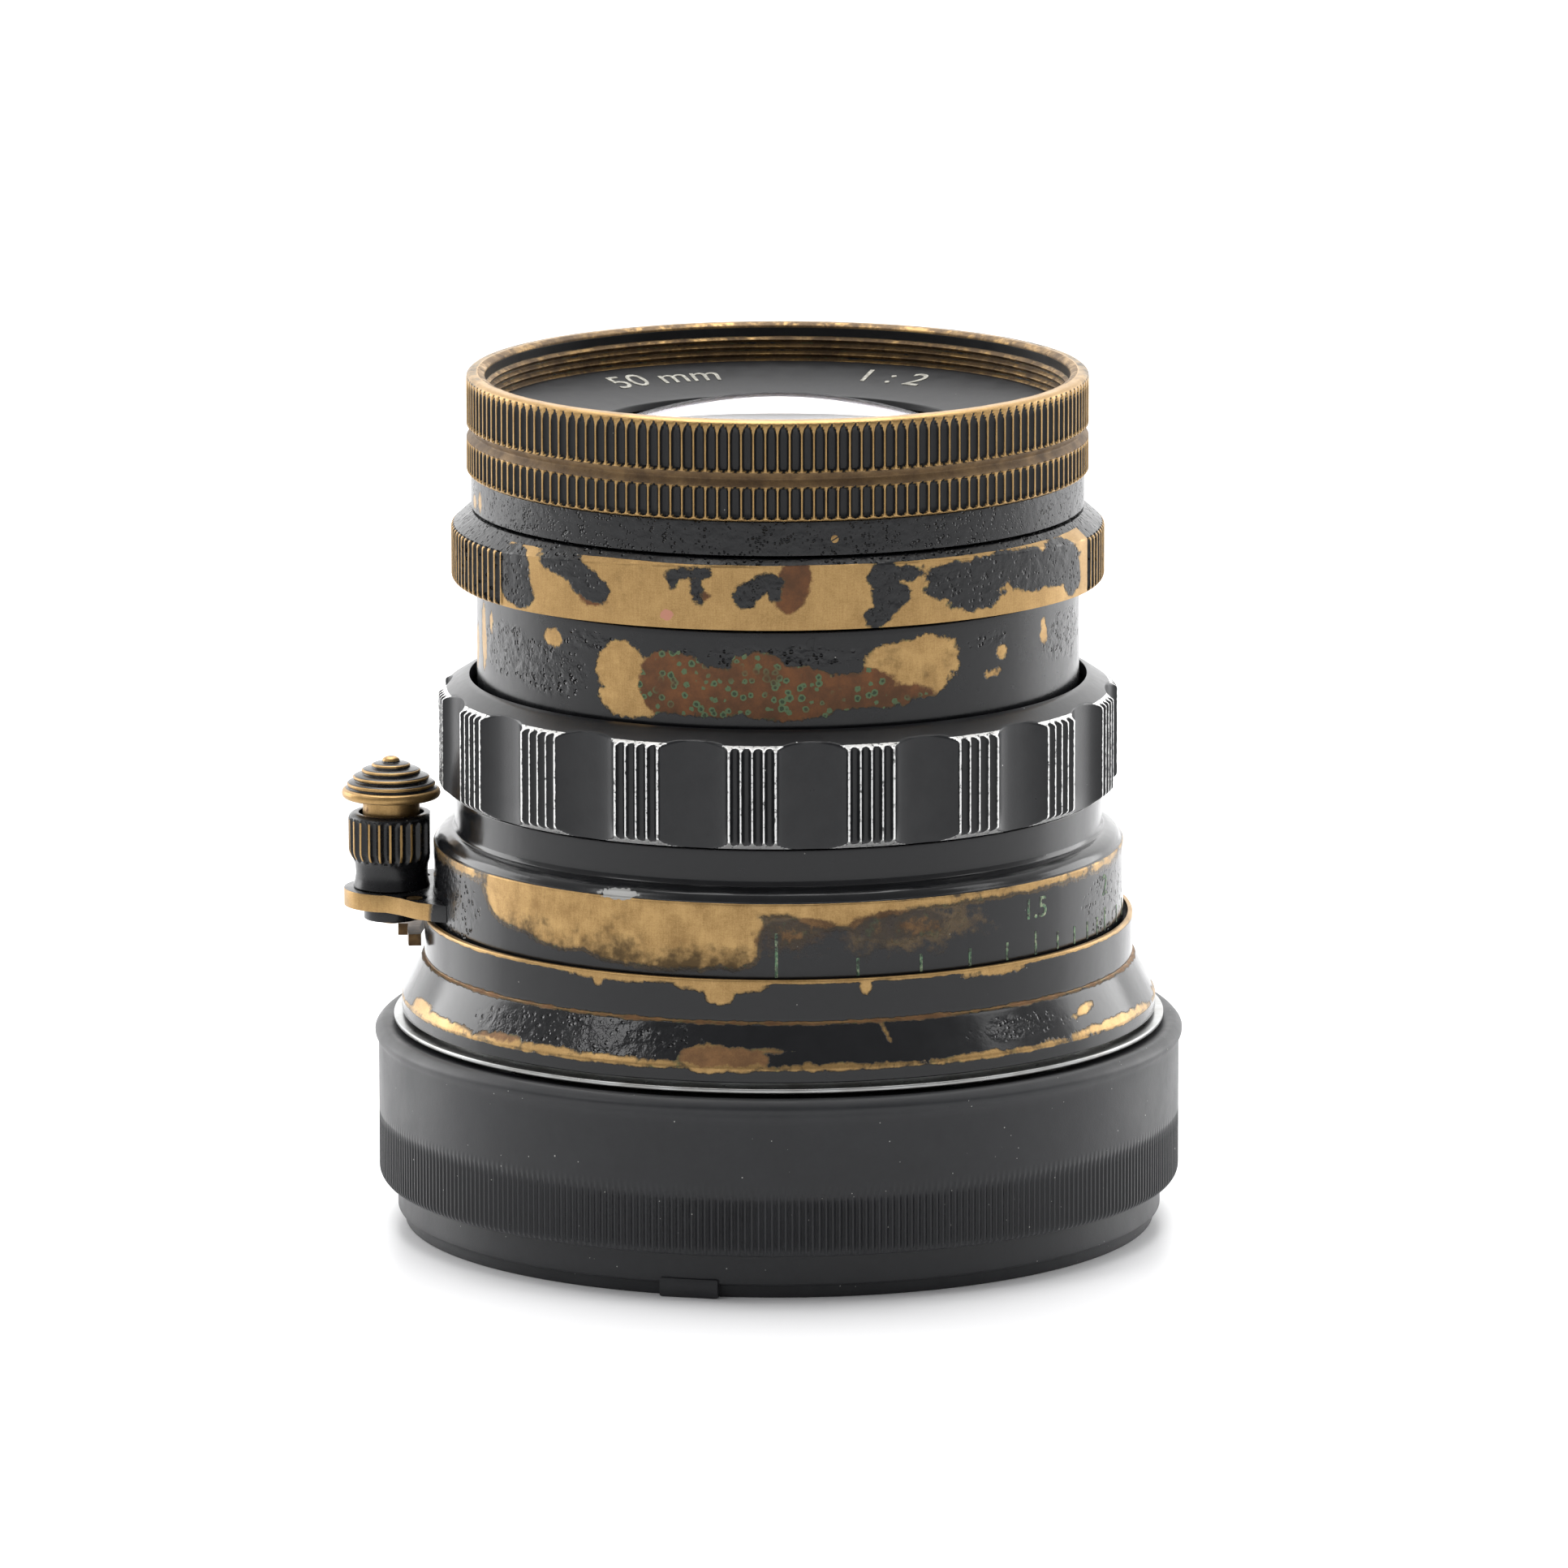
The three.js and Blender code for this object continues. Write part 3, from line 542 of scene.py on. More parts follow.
def scale_field(a, r, z, wear, depth):
    speckled = spots(a, z, SCALE_RADIUS, SPECKLED) * 0.22 - 0.33
    worn = np.maximum.reduce([spots(a, z, SCALE_RADIUS, SCALE_BARE), speckled, edge_wear(wear, 0.4)])
    return {
        "bare": np.where((z > SCALE_TOP + 0.04) | (r < 22), -1.5, worn),
        "copper": spots(a, z, SCALE_RADIUS, SCALE_COPPER),
        "chip": spots(a, z, SCALE_RADIUS, SHOULDER_CHIP),
        "pitted": spots(a, z, SCALE_RADIUS, SCALE_PITTED),
        "smoke": np.clip((24.3 - z) / 4.4, -0.1, 0.5),
    }


scale_ring = turn("scale_ring", [
    (20.8, 19.95), (SCALE_RADIUS, 19.95), (SCALE_RADIUS, SCALE_TOP, 0.08, 0.9),
    (23.22, SCALE_TOP + 0.08, 0.06),
    (23.0, 26.75, 0.25), (22.4, 27.1, 0.3), (22.05, 27.15, 0.08), (21.94, 27.45, 0.12),
    (21.94, 29.62, 0.08), (21.3, 29.62), (21.3, 36.4), (20.8, 36.4),
], steps=1080, longest=0.2, field=scale_field)
scale_lacquer = lacquered("scale_lacquer", pits=0.9, gloss=0.13, grain=0.85, tarnish=1.0, soft=0.3,
                          brown_pair=((0.21, 0.115, 0.045), (0.07, 0.038, 0.018)))
chip = (scale_lacquer.attribute("chip") + scale_lacquer.noise(2.5, 3) * 0.5).step(0, 0.06)
painted = scale_lacquer.shader.inputs["Base Color"].links[0].from_socket
scale_lacquer.set("Base Color", scale_lacquer.mix(
    chip, Value(scale_lacquer, painted), (0.30, 0.30, 0.29)))
scale_lacquer.on(scale_ring)
fit(scale_ring, "focusing_ring", "black_paint", "scale_ring")


def scale_angle(metres):
    """Where a distance stands on the ring, in degrees from -Y towards +X."""
    return INFINITY_ANGLE - SCALE_SPREAD / (metres - NEAR_OFFSET)


def curved_strip(name, angle, radius, low, high, width, proud=0.02):
    """A line of filling in an engraved mark: a thin strip that follows the ring."""
    half = math.degrees(width / 2 / radius)
    outline = [*arc(radius + proud, angle - 90 - half, angle - 90 + half, 2),
               *arc(radius - 0.1, angle - 90 + half, angle - 90 - half, 2)]
    return block(name, outline, low, high, 0)


def mesh_of(curve):
    """The mesh of a curve or a text."""
    shape = bpy.data.objects.new(curve.name + "_shape", curve)
    scene.collection.objects.link(shape)
    bpy.context.view_layer.update()
    graph = bpy.context.evaluated_depsgraph_get()
    mesh = bpy.data.meshes.new_from_object(shape.evaluated_get(graph))
    bpy.data.objects.remove(shape)
    return mesh


def flat_figure(name, text, size, thickness, boldness=0.0):
    """A generic scale figure as a flat mesh round the origin, in mm."""
    curve = bpy.data.curves.new(name, "FONT")
    curve.body = text
    curve.size = size
    curve.align_x = "CENTER"
    curve.align_y = "CENTER"
    curve.extrude = thickness
    curve.offset = boldness
    curve.resolution_u = 4
    mesh = mesh_of(curve)
    mesh.name = name
    return mesh


def numeral(name, text, angle, radius, height, size, slant=0.0):
    """A figure bent round a ring and just proud of it."""
    mesh = flat_figure(name, text, size, 0.06, 0.012)
    for vertex in mesh.vertices:
        x, y, z = vertex.co
        turned_to = math.radians(angle) + x / radius
        out = radius + (0.02 if z > 0 else -0.1) - slant * y
        vertex.co = Vector((out * math.sin(turned_to), -out * math.cos(turned_to), height + y)) * MM
    return finished(mesh)


TICKS = [1, 1.1, 1.2, 1.3, 1.4, 1.5, 1.6, 1.7, 1.8, 1.9, 2, 2.25, 2.5, 3, 3.5, 4, 5, 7, 10]
TICK_FOOT = 21.3
TICK_WIDTH = 0.2
FIGURE_HEIGHT = 24.4
tick_marks = []
for metres in TICKS:
    long = metres in (1, 1.5, 2, 3, 5, 10)
    top = 24.3 if metres == 1 else 22.9 if long else 22.5
    tick_marks.append(curved_strip(
        f"scale_tick_{metres}", scale_angle(metres), SCALE_RADIUS, TICK_FOOT, top, TICK_WIDTH))
tick_marks.append(curved_strip(
    "scale_tick_far", INFINITY_ANGLE, SCALE_RADIUS, TICK_FOOT, 23.0, TICK_WIDTH))
for text in ("1.5", "2", "3", "5", "10"):
    tick_marks.append(numeral(
        f"scale_figure_{text}", text, scale_angle(float(text)), SCALE_RADIUS, FIGURE_HEIGHT, 2.0))
tick_marks.append(numeral(
    "scale_figure_far", "∞", INFINITY_ANGLE, SCALE_RADIUS, FIGURE_HEIGHT, 2.4))

engraving = Finish("aged_engraving", Roughness=0.7)
grime = (engraving.noise(2.2, 4, 0.65) * 2.2 + 0.12).step(-0.15, 0.3)
paint = engraving.mix((engraving.noise(4, 3) + 0.05).step(-0.15, 0.15),
                      (0.32, 0.36, 0.23), (0.09, 0.19, 0.10))
engraving.set("Base Color", engraving.mix(grime, (0.018, 0.022, 0.018), paint))
engraving.bump(engraving.noise(6, 3) * 0.03)
engraving.on(*tick_marks)
for mark in tick_marks:
    fit(mark, "focusing_ring", "black_paint")

# The index and the depth of field marks stand on the fixed ring, opposite the engraved scale.
field_marks = [curved_strip("focus_index", INFINITY_ANGLE, LIP_RADIUS, 18.7, 21.0, 0.28)]
for stop, away in (("4", 7), ("8", 14), ("16", 28)):
    for side in (-1, 1):
        angle = INFINITY_ANGLE + side * away
        side_name = "left" if side < 0 else "right"
        field_marks.append(curved_strip(
            f"field_mark_{stop}_{side_name}", angle, LIP_RADIUS, 20.0, 21.0, TICK_WIDTH))
        field_marks.append(numeral(
            f"field_figure_{stop}_{side_name}", stop, angle, LIP_RADIUS, 19.2, 1.3))
white_fill = Finish("white_filling", Roughness=0.6)
white_fill.set("Base Color", white_fill.mix((white_fill.noise(3, 4) + 0.1).step(-0.25, 0.3),
                                            (0.50, 0.49, 0.43), (0.20, 0.19, 0.16)))
white_fill.bump(white_fill.noise(8, 2) * 0.015)
white_fill.on(*field_marks)
for mark in field_marks:
    fit(mark, "mount", "black_paint")

# ---- focus grip ---------------------------------------------------------------------------
# A sleeve of black anodised aluminium on the focusing ring. Eighteen scallops are milled round
# it, and fine ridges stand between them, worn bright on their crests.
GRIP_RADIUS = 23.0
GRIP_LOW, GRIP_HIGH = 30.3, 36.4
SCALLOP_COUNT = 18
FIRST_GROUP = -4.3
SCALLOP_HALF = 5.95
SCALLOP_DEPTH = 0.85
RIDGE_PITCH = 1.92
RIDGE_GROOVE = 0.34


def grip_phase(a):
    """Degrees from the middle of the nearest group of ridges."""
    pitch = 360 / SCALLOP_COUNT
    return (np.degrees(a) - FIRST_GROUP + pitch / 2) % pitch - pitch / 2


def grip_cutter(a):
    phase = grip_phase(a)
    u = np.clip((10 - np.abs(phase)) / SCALLOP_HALF, 0, 1)
    scallop = GRIP_RADIUS - SCALLOP_DEPTH * (1 - u ** 2.4) ** 0.6
    in_group = np.abs(phase) < 2 * RIDGE_PITCH
    across = np.abs((phase / RIDGE_PITCH + 0.5) % 1 - 0.5)
    groove = GRIP_RADIUS - RIDGE_GROOVE * np.clip(1 - ((0.5 - across) / 0.42) ** 2, 0, 1) ** 0.7
    return np.where(in_group, groove, scallop)


def grip_cut(a, r, z):
    outside = (z > 29.6) & (r > 21.75)
    return np.where(outside, np.minimum(r, grip_cutter(a)), r)


def grip_field(a, r, z, wear, depth):
    crest = np.clip(1 - depth / 0.09, 0, 1) * (r > 22.0) * (z < 36.75)
    phase = np.abs(grip_phase(a))
    side = np.clip(1 - np.abs(phase - 3.94) / 0.2, 0, 1) * (z < 36.6) * (r > 22.4)
    from_end = np.minimum(np.abs(z - GRIP_HIGH), np.abs(z - GRIP_LOW))
    ends = np.clip(1 - from_end / 0.35, 0, 1) * crest
    return {"bare": np.maximum.reduce([crest * 0.40 - 0.31, side * 0.44 - 0.33, ends * 0.6 - 0.34])}


ridge_shares = np.array([-0.94, -0.88, -0.78, -0.64, -0.5, -0.36, -0.22, -0.12, -0.06, 0])
ridge_points = [RIDGE_PITCH * (ridge + share) for ridge in (-1, 0, 1, 2) for share in ridge_shares]
flank_points = [3.9, 3.98, 4.05, 4.15, 4.3, 4.6, 5.1, 5.7, 6.4, 7.2, 8.1, 9, 10]
group_points = [-2 * RIDGE_PITCH, *ridge_points, *flank_points, *[-p for p in flank_points[:-1]]]
grip_angles = np.radians(np.concatenate([
    FIRST_GROUP + 360 / SCALLOP_COUNT * k + np.array(group_points) for k in range(SCALLOP_COUNT)]))
grip_angles = np.unique(np.round((grip_angles + math.pi) % (2 * math.pi) - math.pi, 6))
focus_grip = turn("focus_grip", [
    (21.6, 29.8), (22.25, 29.74, 0.1), (GRIP_RADIUS, GRIP_LOW, 0.12, 0.4),
    (GRIP_RADIUS, GRIP_HIGH, 0.1, 0.5),
    (21.25, 37.5, 0.15), (20.9, 37.6, 0.06), (20.75, 36.9), (21.6, 36.75),
], steps=grip_angles, longest=0.11, cut=grip_cut, field=grip_field)

anodised = Finish("worn_anodising", IOR=1.45, Specular_IOR_Level=0.4)
chipped = anodised.noise(3.2, 4, 0.65) * 1.5 + anodised.noise(11, 2) * 0.5
silver = (anodised.attribute("bare") + chipped * 0.36).step(-0.02, 0.08)
nick = (anodised.dots(2.3) * -1 + 0.07 + anodised.noise(1.2) * 0.1).step(0, 0.02)
silver = silver.most(nick * 0.7)
coat = anodised.mix((anodised.noise(0.6, 4) + 0.1).step(-0.3, 0.3),
                    (0.0068, 0.0072, 0.0085), (0.0115, 0.012, 0.0135))
anodised.set("Base Color", anodised.mix(silver, coat, (0.72, 0.72, 0.71)))
anodised.set("Metallic", silver * 0.75)
anodised.set("Roughness", anodised.blend(silver, anodised.noise(1.5, 3) * 0.1 + 0.30, 0.34))
anodised.bump(anodised.noise(6, 3) * 0.005 + (1 - silver) * 0.008)
anodised.on(focus_grip)
fit(focus_grip, "focusing_ring", "black_aluminium", "focus_grip")

# ---- infinity lock ------------------------------------------------------------------------
# A tear-shaped brass plate grows out of the focusing ring. A fluted sleeve stands on it and
# guides the sprung button, whose pin drops behind a small catch on the fixed ring.
KNOB = (-26.25, 0)
TAB_LOW, TAB_HIGH = 21.62, 22.8
FLUTE_COUNT = 24

tab_outline = [*arc(SCALE_RADIUS + 0.02, 180 + 17, 180 - 17, 24)]
tab_outline += [(-24.4, 5.6), (-25.6, 4.1), (-26.9, 3.25)]
tab_outline += [*arc(3.25, 96, 264, 28, KNOB)]
tab_outline += [(-25.6, -4.1), (-24.4, -5.6)]
tab = block("lock_tab", tab_outline, TAB_LOW, TAB_HIGH, 0.16, 3)

tab_screws = [(-24.6, side * 3.9) for side in (-1, 1)]
cut_out(tab, peg(1.15, 20, 24, KNOB), *[peg(0.85, TAB_HIGH - 0.8, 24, place) for place in tab_screws])


def mark(piece, **fields):
    """Stores attributes worked out from each point's place in mm."""
    places = np.array([v.co for v in piece.data.vertices]) / MM
    for key, work_out in fields.items():
        layer = piece.data.attributes.get(key) or piece.data.attributes.new(key, "FLOAT", "POINT")
        values = np.broadcast_to(work_out(*places.T), len(places)).astype(np.float32)
        layer.data.foreach_set("value", values)


def tab_bare(x, y, z):
    near_ring = np.hypot(x, y) - SCALE_RADIUS
    flank = np.where(z < TAB_HIGH - 0.01, 0.5, -0.5)
    return np.where(near_ring < 1.1, near_ring * 0.4 - 0.5, flank)


mark(tab, bare=tab_bare, copper=lambda x, y, z: x * 0 - 1)
knob_lacquer = lacquered("knob_lacquer", pits=0.2, gloss=0.22, grain=0.3, tarnish=0.35)
knob_lacquer.on(tab)
fit(tab, "focusing_ring", "black_paint", "lock_tab")


def collar_cut(a, r, z):
    """Flutes the collar, and keeps it off the focusing ring."""
    towards = KNOB[0] * np.sin(a)
    spare = towards ** 2 - (KNOB[0] ** 2 - (SCALE_RADIUS + 0.25) ** 2)
    room = np.where((towards < 0) & (spare > 0), -towards - np.sqrt(np.maximum(spare, 0)), 9)
    share = a * FLUTE_COUNT / (2 * math.pi) % 1
    groove = np.clip(1 - (np.abs(share - 0.5) / 0.38) ** 2, 0, 1) ** 0.8
    end = np.clip(np.minimum(z - 24.75, 27.72 - z) / 0.35, 0, 1) ** 0.5
    return np.minimum(np.where(r > 2.52, r - 0.26 * groove * end, r), np.maximum(room, 2.3))


def collar_field(a, r, z, wear, depth):
    crest = np.clip(1 - depth / 0.05, 0, 1) * (r > 2.6) * (z < 27.6) * (z > 24.9)
    side = np.clip(math.pi * 0.42 - np.abs(a + 0.65), -0.5, 1)
    return {"bare": crest * 0.42 - 0.34 + np.clip(side, -0.3, 0.1), "copper": r * 0 - 1}


collar = turn("lock_collar", [
    (2.22, 23.1), (2.62, 22.83, 0.1), (2.42, 23.7, 0.4), (2.5, 24.6, 0.3), (2.92, 25.25, 0.3),
    (2.92, 27.75, 0.22, 0.2), (2.6, 28.0, 0.12), (2.22, 28.0, 0.06),
], steps=FLUTE_COUNT * 12, longest=0.16, cut=collar_cut, field=collar_field, at=KNOB)
knob_lacquer.on(collar)
fit(collar, "focusing_ring", "black_paint", "lock_collar")


def button_field(a, r, z, wear, depth):
    front = 0.12 * np.cos(a + 0.5)
    return {"bare": np.where(z < 29.0, 0.6, wear * 0.62 - 0.3 + front),
            "copper": r * 0 - 0.6 + (z < 28.9) * 0.5}


button = turn("lock_button", [
    (0, 20.35), (0.8, 20.35, 0.1), (0.8, 26.6), (1.93, 26.6, 0.1), (1.93, 28.98, 0.05),
    (3.2, 28.98, 0.15, 1), (3.38, 29.25, 0.16, 1), (3.3, 29.58, 0.12, 1), (2.92, 29.72, 0.08),
    (3.02, 29.98, 0.07, 1), (2.86, 30.1, 0.06), (2.5, 30.22, 0.08), (2.62, 30.44, 0.07, 1),
    (2.42, 30.56, 0.06), (1.95, 30.68, 0.08), (2.02, 30.9, 0.07, 1), (1.8, 31.0, 0.06),
    (1.3, 31.08, 0.08), (1.32, 31.28, 0.07, 1), (1.1, 31.37, 0.06), (0.62, 31.42, 0.06),
    (0.56, 31.66, 0.1, 1), (0.3, 31.8, 0.1, 1), (0, 31.8),
], steps=128, longest=0.3, field=button_field, at=KNOB)
knob_lacquer.on(button)
fit(button, "lock_button", "brass", "lock_button")

bush = turn("lock_bush", [
    (1.15, 20.62), (1.9, 20.62, 0.12), (1.9, 21.4, 0.05), (1.15, 21.4),
], steps=64, at=KNOB, field=lambda a, r, z, wear, depth: {"bare": r * 0 - 0.3, "copper": r * 0 - 1})
knob_lacquer.on(bush)
fit(bush, "focusing_ring", "brass", "lock_bush")

SPRING_TURNS, SPRING_STEPS = 3.5, 24
SPRING_LOW, SPRING_HIGH = 23.35, 26.1
SPRING_RADIUS = 1.5
spring_curve = bpy.data.curves.new("lock_spring", "CURVE")
spring_curve.dimensions = "3D"
spring_curve.bevel_depth = 0.2 * MM
spring_curve.bevel_resolution = 3
winding = spring_curve.splines.new("POLY")
spring_count = int(SPRING_TURNS * SPRING_STEPS)
winding.points.add(spring_count)
for k, point in enumerate(winding.points):
    angle = 2 * math.pi * k / SPRING_STEPS
    height = SPRING_LOW + (SPRING_HIGH - SPRING_LOW) * k / spring_count
    place = Vector((KNOB[0] + SPRING_RADIUS * math.cos(angle), SPRING_RADIUS * math.sin(angle), height))
    point.co = (*(place * MM), 1)
spring_mesh = mesh_of(spring_curve)
spring_mesh.name = "lock_spring_wire"
spring = finished(spring_mesh)
steel.on(spring)
fit(spring, "focusing_ring", "steel", "lock_spring")
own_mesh(spring)

# ---- barrel -------------------------------------------------------------------------------
# The lacquered brass barrel that carries the glass. It slides out of the focusing ring, and its
# lacquer has blistered and flaked down to brass, brown oxide and green verdigris.
BARREL_RADIUS = 20.37
BARREL_BARE = [
    (-47.7, 42.4, 1.0, 0.65), (-31, 41.2, 2.0, 1.8), (-27, 39.4, 2.2, 1.5), (-31, 39.0, 1.8, 1.2),
    (-20, 40.4, 3.0, 2.2), (-12, 39.9, 3.4, 1.7), (-4, 40.8, 2.2, 1.9), (2, 39.9, 4.2, 1.9),
    (12, 39.9, 4.0, 1.25), (20, 40.0, 3.2, 1.3), (23, 41.6, 2.4, 1.5), (29, 41.8, 2.6, 1.6),
    (31, 42.6, 1.6, 0.7), (26, 40.4, 3.0, 1.3), (-76, 41, 0.7, 2.2), (-71, 42.3, 0.4, 0.7),
    (47, 41.4, 0.5, 0.5), (44, 40.2, 0.8, 0.3), (61, 42.2, 0.4, 0.9), (-84, 40, 0.9, 1.6),
    (140, 41, 4, 1.4), (215, 42, 3, 1.1), (250, 40.4, 2, 1.6),
]
BARREL_COPPER = [
    (-18, 40.4, 3.2, 2.8), (-8, 40.4, 4.5, 2.8), (2, 40.2, 4.5, 2.6), (12, 39.8, 4.2, 1.8),
    (20, 39.4, 3.6, 0.9), (215, 42, 2, 1.4),
]
BARREL_PITTED = [
    (-64, 40.9, 4.5, 2.2), (-50, 40.3, 5, 2.2), (-38, 42.6, 4, 1.1), (0, 42.4, 9, 0.9),
    (-6, 41.9, 3, 0.8), (72, 41.4, 5, 2.0), (45, 42.4, 4, 0.8), (150, 40.5, 9, 2), (220, 41, 9, 2),
]


def barrel_field(a, r, z, wear, depth):
    return {"bare": np.maximum(spots(a, z, BARREL_RADIUS, BARREL_BARE), -1.2),
            "copper": spots(a, z, BARREL_RADIUS, BARREL_COPPER),
            "pitted": spots(a, z, BARREL_RADIUS, BARREL_PITTED) * 0.7}


barrel = turn("lens_barrel", [
    (18.9, 33.0), (BARREL_RADIUS, 33.0, 0.1), (BARREL_RADIUS, 44.02, 0.1), (18.9, 44.02),
], steps=900, longest=0.35, field=barrel_field)
tube = turn("lens_barrel_tube", [
    (18.0, 12.0), (19.4, 12.0, 0.1), (19.4, 32.98), (18.88, 32.98), (18.88, 50.5), (18.0, 50.5),
], steps=128, longest=99)
keyway = block("cutter", [(-20.4, -1.3), (-18.4, -1.3), (-18.4, 1.3), (-20.4, 1.3)], 11.4, 24.4, 0)
drive_slot = sector("cutter", 17, 20.2, -58, 81, 44.7, 46.3, 0)
cut_out(tube, keyway, drive_slot)
barrel_lacquer = lacquered("barrel_lacquer", pits=2.6, gloss=0.2, grain=1.1, tarnish=0.8,
                           verdigris=0.55)
barrel_lacquer.on(barrel)
fit(barrel, "barrel", "black_paint", "lens_barrel")
flat_black = Finish("flat_black", Roughness=0.85)
flat_black.set("Base Color", flat_black.mix((flat_black.noise(1.5, 4) + 0.1).step(-0.3, 0.3),
                                            (0.006, 0.006, 0.006), (0.014, 0.013, 0.012)))
flat_black.bump(flat_black.noise(8, 3) * 0.01)
flat_black.on(tube)
fit(tube, "barrel", "matt_black")

# A slotted grub screw holds the head in the barrel.
brass = Finish("old_brass", Metallic=0.95)
worn = brass.noise(1.2, 5, 0.6)
brass.set("Base Color", brass.mix((worn + 0.05).step(-0.25, 0.3),
                                  (0.40, 0.26, 0.108), (0.18, 0.105, 0.043)))
brass.set("Roughness", worn * 0.25 + 0.38)
brass.bump(brass.noise(1, 2, 0.5, brass.scaled(2, 2, 16)) * 0.008)


def slotted_screw(name, radius, depth, slot_width):
    """A grub screw along +X, its slotted face at the origin."""
    work = bmesh.new()
    bmesh.ops.create_cone(work, cap_ends=True, segments=24, radius1=radius * MM, radius2=radius * MM,
                          depth=depth * MM)
    half = slot_width / 2 * MM
    for edge in (-half, half):
        bmesh.ops.bisect_plane(work, geom=work.verts[:] + work.edges[:] + work.faces[:],
                               plane_co=(edge, 0, 0), plane_no=(1, 0, 0))
    floor = [f for f in work.faces if f.normal.z > 0.5 and abs(f.calc_center_median().x) < half]
    sunk = bmesh.ops.extrude_face_region(work, geom=floor)
    bmesh.ops.translate(work, verts=[v for v in sunk["geom"] if isinstance(v, bmesh.types.BMVert)],
                        vec=(0, 0, -0.4 * radius * MM))
    bmesh.ops.delete(work, geom=floor, context="FACES_ONLY")
    mesh = bpy.data.meshes.new(name)
    work.to_mesh(mesh)
    work.free()
    mesh.transform(Matrix.Translation((0, 0, -depth / 2 * MM)))
    mesh.transform(Matrix.Rotation(math.radians(90), 4, "Y"))
    return finished(mesh)


def set_in(piece, radius, angle, height, twist=0):
    """Puts a screw in the flank of the barrel."""
    place = (Matrix.Rotation(math.radians(angle - 90), 4, "Z")
             @ Matrix.Translation((radius * MM, 0, height * MM))
             @ Matrix.Rotation(math.radians(twist), 4, "X"))
    piece.data.transform(place)
    return piece


grub = set_in(slotted_screw("barrel_grub_screw", 0.42, 0.9, 0.16), BARREL_RADIUS + 0.03, 6.5, 43.2, 82)
mark(grub, bare=lambda x, y, z: x * 0 - 0.14, copper=lambda x, y, z: x * 0 + 1)
barrel_lacquer.on(grub)
fit(grub, "barrel", "brass", "barrel_screw")

# The tube at the rear works the camera's rangefinder.
cam_tube = turn("rangefinder_cam", [
    (17.3, 6.5, 0.2), (19.0, 6.5, 0.2), (19.0, 11.7, 0.1), (17.3, 11.7, 0.1),
], steps=192, longest=2)
brass.on(cam_tube)
fit(cam_tube, "barrel", "brass", "rangefinder_cam")

# ---- aperture ring ------------------------------------------------------------------------
# Brass, knurled at its sides with shallow smooth cuts at front and back. Its lacquer survives as
# islands at the front, and the crests of the knurling are bare.
APERTURE_RADIUS = 22.07
KNURL_COUNT = 164
KNURL_DEPTH = 0.26
SMOOTH_CENTRES = (7, 187)
SMOOTH_HALF = 64
SMOOTH_RADIUS = 21.2
ISLANDS = [
    (-54.5, 46.9, 1.9, 1.75), (-52.5, 45.5, 1.5, 1.0), (-42, 48.0, 2.2, 0.9, -20),
    (-37.5, 47.2, 2.3, 0.95, -35), (-34, 46.4, 0.9, 0.8), (-17.5, 48.0, 1.0, 0.42),
    (-14.4, 48.0, 0.8, 0.4), (-19, 47.6, 0.3, 0.4), (-14.6, 47.1, 0.42, 0.9, 8),
    (-4.4, 47.0, 1.3, 0.7, 18), (-1.6, 47.6, 1.0, 0.5), (-0.8, 46.9, 0.45, 0.7),
    (-6.2, 46.3, 0.7, 0.5), (19.5, 47.7, 1.1, 1.1), (20.5, 46.3, 1.35, 1.1), (18.5, 45.1, 1.0, 0.7),
    (23.5, 47.9, 1.3, 0.5), (33, 46.6, 2.1, 0.8), (36, 47.5, 3.2, 0.75), (39.5, 46.9, 2.0, 1.2),
    (38, 45.7, 2.2, 0.75),
    (47, 47.6, 3.4, 0.95), (53, 46.8, 2.6, 1.2), (60, 47.0, 2.6, 1.6), (64.5, 46.0, 1.2, 1.5),
    (150, 47, 4, 1.6), (172, 46.6, 5, 1.9), (190, 46.4, 5, 1.9), (206, 46.8, 4, 2),
    (222, 46.4, 4, 1.8), (237, 46.6, 3, 1.8),
    (134, 46.6, 3, 1.9), (160, 45.6, 4, 1.2),
]
APERTURE_COPPER = [
    (3.2, 47.6, 1.1, 1.5), (2.2, 46.3, 0.95, 0.9), (33.5, 47.5, 1.5, 0.2, 22),
    (-35, 45.9, 1.1, 0.5), (-13.6, 46.5, 0.5, 0.35), (181, 48, 2.5, 1),
]
PINK_SPOT = [(-20.2, 45.15, 0.5, 0.42)]


def from_smooth(a):
    """Degrees from the middle of the nearest smooth cut."""
    away = [np.abs((np.degrees(a) - centre + 180) % 360 - 180) for centre in SMOOTH_CENTRES]
    return np.minimum(*away)


def flute(a):
    """0 on a crest of the knurling, 1 in the middle of a flute."""
    return 1 - np.abs((a * KNURL_COUNT / (2 * math.pi)) % 1 - 0.5) * 2


def flute_depth(a, room, roundness=2.0):
    """Share of the full depth, for a flute that ends in an arch; room is the way to the band's
    end in mm. A roundness of 1 gives pointed arches."""
    arch = np.clip(1 - (1 - np.clip(room / 0.42, 0, 1)) ** roundness, 0, 1) ** (1 / roundness)
    across = (1 - flute(a)) / np.clip(0.84 * arch, 0.02, 1)
    return np.clip(1 - across ** 4, 0, 1) ** 0.7 * np.minimum(arch * 1.4, 1)


def aperture_cut(a, r, z):
    away = from_smooth(a)
    rise = APERTURE_RADIUS - 0.1 - SMOOTH_RADIUS
    smooth = SMOOTH_RADIUS + rise * np.clip(away / SMOOTH_HALF, 0, 1) ** 2
    room = np.minimum(z - 44.3, 48.05 - z)
    knurled = APERTURE_RADIUS - KNURL_DEPTH * flute_depth(a, room)
    outer = (r > 20.5) & (z > 44.25)
    limit = np.where(away < SMOOTH_HALF, smooth, np.where((r > 21.6) & (room > 0), knurled, r))
    return np.where(outer, np.minimum(r, limit), r)


